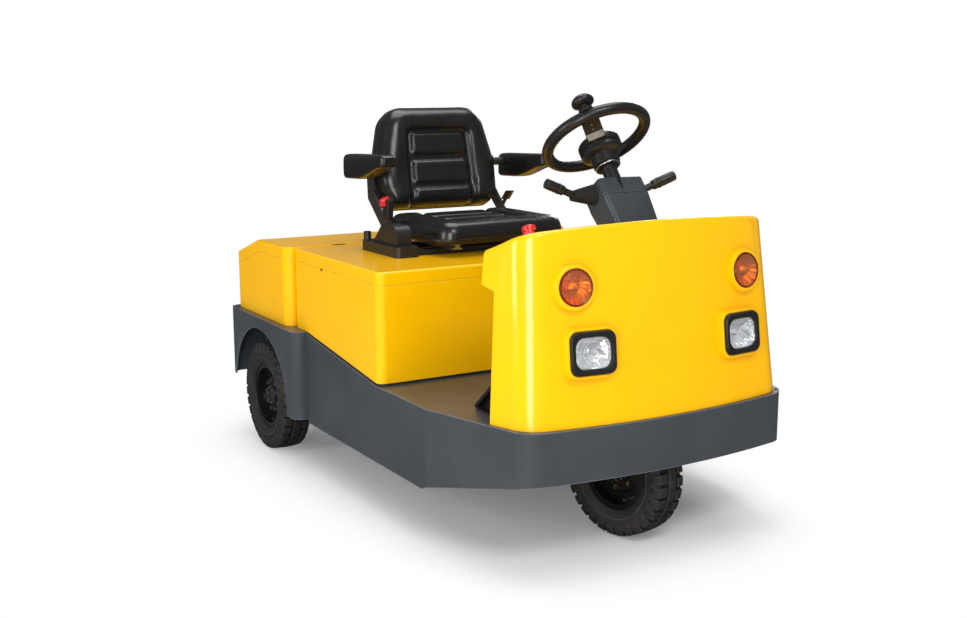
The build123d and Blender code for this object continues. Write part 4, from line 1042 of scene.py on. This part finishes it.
park = math.radians(9.5)
axle_z, front_axle_y, rear_x, rear_y = 0.207, -0.785, 0.570, 0.648
front_axis, left_axis = Vector((math.cos(park), math.sin(park), 0)), Vector((1, 0, 0))
front_centre = Vector((0, front_axle_y, axle_z))
left_centre, right_centre = Vector((rear_x, rear_y, axle_z)), Vector((-rear_x, rear_y, axle_z))
for name, body, centre, axis in (
    ("front_tyre", "front_wheel", front_centre, front_axis),
    ("left_tyre", "left_wheel", left_centre, left_axis),
    ("right_tyre", "right_wheel", right_centre, left_axis),
):
    place(tyre_piece(name + "_treaded", name, centre, axis, 30), body)


# Wheel nuts, hub bolts and valve stems
def ring_points(centre, axis, radius, count, lift, phase=0.0):
    """Points on a circle about an axis, lifted along it."""
    matrix = basis(centre, axis)
    points = []
    for k in range(count):
        a = TAU * (k + phase) / count
        points.append(matrix @ Vector((radius * math.cos(a), radius * math.sin(a), lift)))
    return points


nut_mesh = bolt_mesh("nut_template", 0.019, 0.012, brass)
steel_nut_mesh = bolt_mesh("steel_nut_template", 0.016, 0.011, dark_steel)
cap_mesh = bolt_mesh("cap_template", 0.009, 0.006, dark_steel, round_head=True)
nut_circle, nut_seat, cap_circle, cap_seat, cap_count = 0.057, 0.0138, 0.031, 0.0268, 8
stem_circle, stem_seat = 0.096, 0.0075
for label, centre, axis, template, material, count in (
    ("front", front_centre, -front_axis, nut_mesh, brass, 6),
    ("left", left_centre, left_axis, steel_nut_mesh, dark_steel, 9),
    ("right", right_centre, -left_axis, steel_nut_mesh, dark_steel, 9),
):
    body = label + "_wheel"
    studs = ring_points(centre, axis, nut_circle, count, nut_seat, 0.4)
    nuts = scatter(label + "_wheel_nuts", studs, [axis] * count, template, material)
    place(nuts, body)
    cap_points = ring_points(centre, axis, cap_circle, cap_count, cap_seat)
    caps = scatter(label + "_hub_bolts", cap_points, [axis] * cap_count, cap_mesh, dark_steel)
    place(caps, body)
    stem_foot = ring_points(centre, axis, stem_circle, 1, stem_seat, 0.83)[0]
    turned(
        body, "bright_steel", label + "_valve_stem",
        [(0.0, 0.0), (0.0045, 0.0), (0.0045, 0.006), (0.003, 0.008), (0.003, 0.024),
         (0.0042, 0.025), (0.0042, 0.033), (0.0, 0.034)],
        16, basis(stem_foot, axis), bright_steel,
    )


# Front end: cowl, bumper band and floor edge with the full bow that the real sheet has
floor_top = 0.434
cowl_rake, cowl_narrowing, crown_height = 0.118, 0.0583, 0.015
cowl_foot_y, cowl_bow, cowl_half = -0.964, 0.054, 0.476
solid_foot_y, solid_bow, solid_half = -0.978, 0.017, 0.478
band_front_y, band_bend_x, band_height = -1.002, 0.48, 0.162
band_shift, band_bow, band_half, band_run = 0.024, 0.042, 0.483, 0.412


def front_line(x, z):
    """Bowed, raked front of the cowl."""
    rise = z - floor_top
    corner = cowl_half - cowl_narrowing * rise
    return cowl_foot_y + cowl_rake * rise - cowl_bow * max(0.0, 1 - (x / corner) ** 2)


def bow_cowl(point):
    """Moves a point of the cowl's front onto the deeper bow; the rear edge stays."""
    x, y, z = point
    rise = z - floor_top
    corner = solid_half - cowl_narrowing * rise
    plain = solid_foot_y + cowl_rake * rise
    share = 1 - smooth_step(y - plain, 0.05, 0.13)
    before = plain - solid_bow * max(0.0, 1 - (x / corner) ** 2)
    y += share * (front_line(x, z) - before)
    if 0.17 < abs(x) < 0.4 and 0.55 < z < 0.93:
        y = max(y, front_line(x, z))
    crown = max(0.0, 1 - (x / corner) ** 2) * smooth_step(rise, 0.40, 0.54)
    return Vector((x * (1 - 0.0042 * share), y, z + crown_height * crown * share))


def bow_band(point):
    """Moves a point of the bumper band onto the deeper bow; the bends stay."""
    x, y, z = point
    share = 1 - min(max((y - band_front_y) / band_run, 0.0), 1.0)
    if abs(x) < band_bend_x and y < -0.6:
        share = 1.0
        bow = band_bow * (1 - (x / band_half) ** 2)
        moved = Vector((x * 1.0125, y + band_shift - bow, z))
    else:
        moved = Vector((x + math.copysign(0.006 * share, x), y + band_shift * share, z))
    moved.z += 0.004 * share * min(max((floor_top - z) / band_height, 0.0), 1.0)
    return moved


def bow_floor(point):
    """Moves the floor plate's front and front corners with the band."""
    moved = bow_band(point)
    share = 1.0
    if abs(point.x) < band_bend_x:
        share = 1 - smooth_step(point.y, -0.985, -0.955)
    moved = point.lerp(moved, share)
    moved.z = point.z
    return moved


recast("bowed_cowl", "cowl", yellow, 0.03, bow_cowl)
recast("bowed_band", "chassis_skirt", grey, 0.03, bow_band)
recast("floor_sheet", "floor_plate", floor_coat, 0.03, bow_floor)


# Lamps
def lamp_matrix(side, x, z, lift):
    """Place and direction of a lamp's boss over the bowed front of the cowl."""
    normal = Vector((side * 0.105, -1, 0.118)).normalized()
    return basis(Vector((side * x, front_line(x, z), z)) + normal * lift, normal)


def lens_uv(made, matrix, size):
    """Map over a lens face, centred on its middle."""
    layer = made.data.uv_layers.new(name="lens")
    inverse = matrix.inverted()
    for loop in made.data.loops:
        p = inverse @ made.data.vertices[loop.vertex_index].co
        layer.data[loop.index].uv = (p.x / size, p.y / size)


def facet_bowl(name, matrix, outline, depths, shares, material):
    """Reflector bowl of flat facets shrinking inwards over an outline."""
    verts, faces = [], []
    count = len(outline)
    for j, (share, depth) in enumerate(zip(shares, depths)):
        for i, (x, y) in enumerate(outline):
            wave = 1 + (0.035 if (i + j) % 2 else -0.035) * (0 < j < len(shares) - 1)
            verts.append(matrix @ Vector((x * share * wave, y * share * wave, depth)))
    for j in range(len(shares) - 1):
        for i in range(count):
            k = (i + 1) % count
            faces.append((j * count + i, j * count + k, (j + 1) * count + k, (j + 1) * count + i))
    faces.append(tuple((len(shares) - 1) * count + i for i in range(count)))
    return mesh_object(name, verts, faces, material, smooth=False)


indicator_x, indicator_z, indicator_lift = 0.313, 0.829, 0.021
headlight_x, headlight_z, headlight_lift = 0.274, 0.644, 0.024
for label, side in (("right", -1), ("left", 1)):
    spot = lamp_matrix(side, indicator_x, indicator_z, indicator_lift)
    boss = loft(
        label + "_indicator_boss",
        [(circle(r), h) for r, h in (
            (0.0689, -0.035), (0.0645, -0.0035), (0.0637, -0.001), (0.0620, 0.0),
            (0.0550, 0.0), (0.0536, -0.0012), (0.0533, -0.035),
        )],
        spot, yellow, ring=True,
    )
    place(boss, "chassis")
    bowl = facet_bowl(
        label + "_indicator_bowl", spot, circle(0.0505, 36),
        [-0.001, -0.012, -0.021, -0.028, -0.033], [1.0, 0.80, 0.56, 0.34, 0.18], amber_mirror,
    )
    place(bowl, "chassis")
    turned(
        "chassis", "amber_lens", label + "_indicator_bulb",
        [(0.0, -0.034), (0.013, -0.034), (0.013, -0.020), (0.0165, -0.016), (0.0165, -0.011),
         (0.011, -0.006), (0.005, -0.004), (0.0, -0.0035)],
        24, spot, amber_mirror,
    )
    turned(
        "chassis", "amber_lens", label + "_indicator_rim",
        [(0.0526, -0.006), (0.0526, 0.0024), (0.0518, 0.0034), (0.0500, 0.0036),
         (0.0484, 0.0028), (0.0480, -0.001), (0.0500, -0.006), (0.0526, -0.006)],
        60, spot, dark_red,
    )
    dome = turned(
        "chassis", "amber_lens", label + "_indicator_lens",
        [(0.0, 0.0064), (0.012, 0.0062), (0.024, 0.0056), (0.036, 0.0044), (0.044, 0.0030),
         (0.0482, 0.0020), (0.0482, -0.0002), (0.044, 0.0008), (0.036, 0.0022), (0.024, 0.0034),
         (0.012, 0.0040), (0.0, 0.0042)],
        48, spot, amber_glass,
    )
    lens_uv(dome, spot, 0.053)
    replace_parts(dome, "indicator_lamps")

    spot = lamp_matrix(side, headlight_x, headlight_z, headlight_lift)
    boss = loft(
        label + "_headlight_boss",
        [(oblong(w, t, r), h) for w, t, r, h in (
            (0.0875, 0.077, 0.040, -0.035), (0.0827, 0.0722, 0.035, -0.0035),
            (0.0819, 0.0714, 0.0345, -0.001), (0.0800, 0.0695, 0.033, 0.0),
            (0.0748, 0.0643, 0.0275, 0.0), (0.0736, 0.0631, 0.0262, -0.0012),
            (0.0735, 0.0630, 0.026, -0.035),
        )],
        spot, yellow, ring=True,
    )
    place(boss, "chassis")
    surround = loft(
        label + "_headlight_surround",
        [(oblong(w, t, r), h) for w, t, r, h in (
            (0.0733, 0.0628, 0.0258, -0.030), (0.0733, 0.0628, 0.0258, 0.004),
            (0.0724, 0.0619, 0.0250, 0.0072), (0.0702, 0.0597, 0.0230, 0.0098),
            (0.0680, 0.0575, 0.0220, 0.0100), (0.0612, 0.0482, 0.0320, 0.0092),
            (0.0590, 0.0460, 0.0308, 0.0078), (0.0582, 0.0452, 0.030, 0.0055),
            (0.0582, 0.0452, 0.030, -0.030),
        )],
        spot, black_plastic, ring=True,
    )
    place(surround, "chassis")
    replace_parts(surround, "headlight_frames")
    square = oblong(0.0576, 0.0446, 0.0295)
    bowl = facet_bowl(
        label + "_headlight_bowl", spot, square,
        [0.0, -0.010, -0.020, -0.027, -0.031], [0.995, 0.88, 0.66, 0.40, 0.18], chrome,
    )
    place(bowl, "chassis")
    turned(
        "chassis", "clear_lens", label + "_headlight_bulb",
        [(0.0, -0.031), (0.010, -0.031), (0.010, -0.025), (0.006, -0.023), (0.006, -0.012),
         (0.004, -0.009), (0.0, -0.008)],
        20, spot, chrome,
    )
    levels = [(1.0, 0.0008), (0.985, 0.0034), (0.93, 0.0046), (0.8, 0.0058), (0.6, 0.0068),
              (0.35, 0.0074), (0.0, 0.0076)]
    shell = levels + [(share, depth - 0.0024) for share, depth in reversed(levels)]
    face_verts, face_faces = [], []
    for share, depth in shell:
        for x, y in square:
            face_verts.append(spot @ Vector((x * share * 0.999, y * share * 0.999, depth)))
    count = len(square)
    for j in range(len(shell)):
        j2 = (j + 1) % len(shell)
        for i in range(count):
            k = (i + 1) % count
            face_faces.append((j * count + i, j * count + k, j2 * count + k, j2 * count + i))
    glass = weld(mesh_object(label + "_headlight_lens", face_verts, face_faces, clear_glass))
    lens_uv(glass, spot, 0.049)
    place(glass, "chassis")
    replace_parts(glass, "headlight_lenses")

# Collar under the stop button's head
stop_low, stop_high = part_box("stop_button")
stop_foot = ((stop_low.x + stop_high.x) / 2, (stop_low.y + stop_high.y) / 2, stop_low.z)
turned(
    "chassis", "red_plastic", "stop_collar",
    [(0.0, 0.0), (0.0185, 0.0), (0.0180, 0.012), (0.0172, 0.019), (0.0, 0.019)],
    40, basis(stop_foot, (0, 0, 1)), red_plastic,
)

# Steering wheel about its joint's axis: ring, stepped hub, two spokes and the knob
wheel_tilt = math.radians(37.0)
wheel_normal = Vector((0, math.sin(wheel_tilt), math.cos(wheel_tilt)))
wheel_centre = Vector((0, -0.618, 1.222))
wheel_matrix = basis(wheel_centre, wheel_normal)
ring_r, tube_r = 0.1585, 0.018


def wheel_point(turn, reach, height):
    """Point at an angle round the steering wheel's axis."""
    a = math.radians(turn)
    along = Vector((math.cos(a), math.sin(a) * wheel_normal.z, -math.sin(a) * wheel_normal.y))
    return wheel_centre + along * reach + wheel_normal * height


def wheel_prisms(name, shapes, material, body):
    """Blocks on the wheel's radial planes: an outline of reach and height, and a half width."""
    bm = bmesh.new()
    for outline, turn, half in shapes:
        side = (wheel_point(turn + 90, 1, 0) - wheel_centre) * half
        ends = []
        for shift in (-side, side):
            ends.append([bm.verts.new(wheel_point(turn, r, h) + shift) for r, h in outline])
        count = len(outline)
        bm.faces.new(ends[0])
        bm.faces.new(list(reversed(ends[1])))
        for i in range(count):
            j = (i + 1) % count
            bm.faces.new((ends[0][i], ends[1][i], ends[1][j], ends[0][j]))
    bmesh.ops.recalc_face_normals(bm, faces=bm.faces)
    bmesh.ops.bevel(bm, geom=bm.edges[:], offset=0.0012, segments=2, affect="EDGES")
    return place(sharpen(finish_mesh(name, bm, material)), body)


ring_piece = turned(
    "steering_wheel", "black_plastic", "wheel_ring",
    [(ring_r + tube_r * math.cos(TAU * i / 24), tube_r * math.sin(TAU * i / 24))
     for i in range(25)],
    112, wheel_matrix, ring_plastic,
)
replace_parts(ring_piece, "steering_wheel")
turned(
    "steering_wheel", "black_plastic", "wheel_hub",
    [(0.0, -0.050), (0.019, -0.050), (0.019, -0.100), (0.040, -0.100), (0.0428, -0.097),
     (0.043, -0.070), (0.046, -0.0675), (0.056, -0.0655), (0.0635, -0.0602), (0.065, -0.0580),
     (0.065, -0.0500), (0.0642, -0.0482), (0.0605, -0.047), (0.0605, -0.0375),
     (0.0642, -0.0360), (0.0645, -0.0195), (0.0625, -0.0155), (0.058, -0.012), (0.0, -0.0105)],
    72, wheel_matrix, ring_plastic,
)
spokes = []
knob_turn, far_turn = 230, 50
for turn in (knob_turn, far_turn):
    spokes.append(([(0.02, -0.040), (0.071, -0.040), (0.096, -0.022), (0.151, -0.008),
                    (0.151, 0.0), (0.078, -0.006), (0.02, -0.006)], turn, 0.028))
wheel_prisms("wheel_spokes", spokes, ring_plastic, "steering_wheel")
ribs = [
    ([(0.058, -0.0495), (0.0666, -0.0495), (0.0666, -0.0185), (0.058, -0.0185)], turn, 0.0028)
    for turn in range(5, 360, 15) if min(abs(turn - knob_turn), abs(turn - far_turn)) > 30
]
wheel_prisms("wheel_hub_ribs", ribs, ring_plastic, "steering_wheel")
blank = [([(0.0748, -0.0390), (0.0925, -0.0263), (0.0915, -0.0246), (0.0736, -0.0373)],
          knob_turn, 0.0262)]
wheel_prisms("wheel_blank_plate", blank, bare_plate, "steering_wheel")
screw = bolt_mesh("screw_template", 0.006, 0.0022, bright_steel, round_head=True)
screws = scatter(
    "wheel_screws",
    [wheel_point(knob_turn, 0.103, -0.0198), wheel_point(knob_turn, 0.124, -0.0146)],
    [-wheel_normal] * 2, screw, bright_steel,
)
place(screws, "steering_wheel")
knob = turned(
    "steering_wheel", "black_plastic", "wheel_knob",
    [(0.0, 0.010), (0.0225, 0.010), (0.0225, 0.0215), (0.0205, 0.0235), (0.013, 0.0255),
     (0.012, 0.029), (0.0125, 0.0335), (0.020, 0.0345), (0.028, 0.0372), (0.0333, 0.0418),
     (0.035, 0.0472), (0.0341, 0.0528), (0.031, 0.0582), (0.0255, 0.0628), (0.017, 0.0663),
     (0.008, 0.0679), (0.0, 0.0682)],
    48, basis(wheel_point(knob_turn, ring_r, 0), wheel_normal), ring_plastic,
)
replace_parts(knob, "spinner_knob")

# Steering column: shaft with a bright ring, head over a seam, tapered cover and two levers
shaft = turned(
    "chassis", "bright_steel", "column_shaft",
    [(0.0, -0.215), (0.024, -0.215), (0.024, -0.1085), (0.034, -0.1075), (0.0345, -0.1030),
     (0.0175, -0.1020), (0.0175, -0.055), (0.0, -0.055)],
    40, wheel_matrix, ring_plastic,
)
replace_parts(shaft, "column_tube")
turned(
    "chassis", "bright_steel", "column_bright_ring",
    [(0.034, -0.1085), (0.0392, -0.1085), (0.0400, -0.1072), (0.0400, -0.1045),
     (0.0392, -0.1032), (0.034, -0.1032), (0.034, -0.1085)],
    60, wheel_matrix, bright_steel,
)
column_lean = math.radians(39.0)
column_normal = Vector((0, math.sin(column_lean), math.cos(column_lean)))
column_top = (0.012, -0.7015, 1.0918)
column_matrix = basis(column_top, column_normal)
head_half_w, head_half_d, mid = 0.084, 0.0535, (0.0, -0.0195)
head = loft(
    "column_head_shell",
    [(oblong(head_half_w - inset, head_half_d - inset, max(0.016 - inset, 0.004), mid), h)
     for inset, h in ((0.0012, -0.058), (0.0, -0.0568), (0.0, -0.009), (0.0008, -0.0055),
                      (0.0027, -0.0026), (0.0055, -0.0007), (0.009, 0.0))],
    column_matrix, column_plastic,
)
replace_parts(place(head, "chassis"), "column_head")
cover = loft(
    "column_cover_shell",
    [(oblong(head_half_w - inset, head_half_d - inset, 0.014, mid), h)
     for inset, h in ((0.0067, -0.175), (0.0, -0.0622), (0.0012, -0.061), (0.003, -0.0608),
                      (0.003, -0.0575))],
    column_matrix, column_plastic,
)
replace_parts(place(cover, "chassis"), "column_cover")
lever_root = column_matrix @ Vector((0.0, mid[1], -0.029))
boot_length, boot_folds, fold_steps = 0.078, 9, 6
boot_profile = [(0.0, 0.0), (0.030, 0.0)]
for i in range(boot_folds * fold_steps + 1):
    along = boot_length * i / (boot_folds * fold_steps)
    groove = 0.0052 * (0.5 + 0.5 * math.cos(TAU * (i / fold_steps + 0.5))) ** 1.5
    boot_profile.append((0.032 - 0.205 * along - groove, along))
boot_profile.append((0.0, boot_length))
turned(
    "chassis", "seal_rubber", "lever_boot", boot_profile, 40,
    basis(lever_root + Vector((-head_half_w, 0, 0)), (-1, 0, 0)), rubber_seal,
)
for label, side, start, length, drift in (
    ("right", -1, 0.064, 0.098, 0.16), ("left", 1, 0.0, 0.122, -0.26),
):
    grip = [(0.011, 0.0), (0.011, 0.42), (0.0135, 0.45), (0.0152, 0.47), (0.0152, 0.575),
            (0.0168, 0.59), (0.0168, 0.645), (0.0152, 0.66), (0.0160, 0.69), (0.0160, 1.04),
            (0.0150, 1.085), (0.0125, 1.10), (0.009, 1.10), (0.0075, 1.085)]
    lever = turned(
        "chassis", "black_plastic", label + "_lever",
        [(0.0, 0.0)] + [(r, length * share) for r, share in grip] + [(0.0, length * 1.08)],
        32, basis(lever_root + Vector((side * (head_half_w + start), 0, 0)), (side, drift, 0.42)),
        black_plastic,
    )
    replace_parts(lever, "column_levers")
turned(
    "chassis", "black_plastic", "left_lever_cup",
    [(0.0, 0.0), (0.021, 0.0), (0.021, 0.012), (0.017, 0.024), (0.0, 0.027)],
    32, basis(lever_root + Vector((0.083, 0, 0)), (1, -0.12, 0.2)), black_plastic,
)

# Floor and light
def studio_floor():
    """White ground that keeps soft shadows near the object and fades to plain white."""
    bpy.ops.mesh.primitive_plane_add(size=60, location=(0, 0, 0))
    made = bpy.context.object
    made.name = "studio_floor"
    material = bpy.data.materials.new("studio_floor")
    material.use_nodes = True
    tree = material.node_tree
    shader = tree.nodes["Principled BSDF"]
    leave = tree.nodes["Material Output"]
    shader.inputs["Roughness"].default_value = 0.6
    shader.inputs["Specular IOR Level"].default_value = 0.2
    where = node(tree, "ShaderNodeTexCoord")
    tone = node(tree, "ShaderNodeTexNoise", in_Scale=3.0)
    tree.links.new(where.outputs["Object"], tone.inputs["Vector"])
    mix = node(tree, "ShaderNodeMix", data_type="RGBA")
    mix.inputs["A"].default_value = (0.95, 0.95, 0.95, 1)
    mix.inputs["B"].default_value = (0.93, 0.93, 0.93, 1)
    tree.links.new(tone.outputs["Fac"], mix.inputs["Factor"])
    tree.links.new(mix.outputs["Result"], shader.inputs["Base Color"])
    glow = node(tree, "ShaderNodeEmission", in_Color=(1, 1, 1, 1), in_Strength=1.0)
    apart = node(tree, "ShaderNodeSeparateXYZ")
    tree.links.new(where.outputs["Object"], apart.inputs["Vector"])
    out = []
    for label, half in (("X", 0.42), ("Y", 0.86)):
        size = maths(tree, "ABSOLUTE", apart.outputs[label])
        out.append(maths(tree, "MAXIMUM", maths(tree, "SUBTRACT", size, half), 0.0))
    squares = [maths(tree, "POWER", side, 2.0) for side in out]
    far = maths(tree, "SQRT", maths(tree, "ADD", *squares))
    fade = node(tree, "ShaderNodeMapRange", interpolation_type="SMOOTHSTEP",
                in_From_Max=0.5, in_To_Min=0.1)
    tree.links.new(far, fade.inputs["Value"])
    path = node(tree, "ShaderNodeLightPath")
    amount = maths(tree, "MULTIPLY", fade.outputs["Result"], path.outputs["Is Camera Ray"])
    blend = node(tree, "ShaderNodeMixShader")
    tree.links.new(amount, blend.inputs[0])
    tree.links.new(shader.outputs[0], blend.inputs[1])
    tree.links.new(glow.outputs[0], blend.inputs[2])
    dull = node(tree, "ShaderNodeBsdfDiffuse", in_Color=(0.12, 0.12, 0.12, 1))
    seen = node(tree, "ShaderNodeMixShader")
    tree.links.new(path.outputs["Is Glossy Ray"], seen.inputs[0])
    tree.links.new(blend.outputs[0], seen.inputs[1])
    tree.links.new(dull.outputs[0], seen.inputs[2])
    tree.links.new(seen.outputs[0], leave.inputs["Surface"])
    made.data.materials.append(material)


def area_light(name, where, look_at, size, power):
    """Soft rectangular lamp aimed at a point."""
    light = bpy.data.lights.new(name, "AREA")
    light.shape = "RECTANGLE"
    light.size, light.size_y = size
    light.energy = power
    made = link(name, light)
    made.location = where
    made.rotation_euler = (Vector(look_at) - Vector(where)).to_track_quat("-Z", "Y").to_euler()


studio_floor()
world = bpy.context.scene.world or bpy.data.worlds.new("world")
bpy.context.scene.world = world
world.use_nodes = True
sky = world.node_tree
sky.nodes.clear()
sky_out = sky.nodes.new("ShaderNodeOutputWorld")
ambient = node(sky, "ShaderNodeBackground", in_Color=(1, 1, 1, 1))
white = node(sky, "ShaderNodeBackground", in_Color=(1, 1, 1, 1), in_Strength=1.0)
ray = node(sky, "ShaderNodeLightPath")
choose = node(sky, "ShaderNodeMixShader")
plain = maths(sky, "MAXIMUM", ray.outputs["Is Camera Ray"], ray.outputs["Is Transmission Ray"])
sky.links.new(plain, choose.inputs[0])
world_level, glossy_drop = 0.53, 0.38
softer = maths(sky, "SUBTRACT", world_level,
               maths(sky, "MULTIPLY", ray.outputs["Is Glossy Ray"], glossy_drop))
sky.links.new(softer, ambient.inputs["Strength"])
sky.links.new(ambient.outputs[0], choose.inputs[1])
sky.links.new(white.outputs[0], choose.inputs[2])
sky.links.new(choose.outputs[0], sky_out.inputs["Surface"])
middle = (0, -0.1, 0.6)
area_light("key", (-0.9, -3.6, 3.4), middle, (2.0, 1.2), 62)
area_light("top", (0.3, 0.4, 4.2), middle, (2.8, 2.8), 90)
area_light("side", (-4.2, -0.4, 1.5), (0, 0.3, 0.5), (1.2, 1.6), 40)
area_light("front_left", (-3.08, -3.39, 1.3), middle, (1.2, 1.9), 66)
area_light("rim", (3.2, 2.6, 2.6), middle, (1.2, 1.2), 40)

# Camera as the photograph was taken
camera = bpy.data.cameras.new("camera")
camera.sensor_width = 36.0
camera.lens = 46.34
camera_object = link("camera", camera)
camera_object.location = (-2.2989, -3.7555, 1.4038)
camera_object.rotation_euler = (math.radians(79.5), 0, math.radians(-31.1))
bpy.context.scene.camera = camera_object
bpy.context.scene.view_settings.view_transform = "Standard"
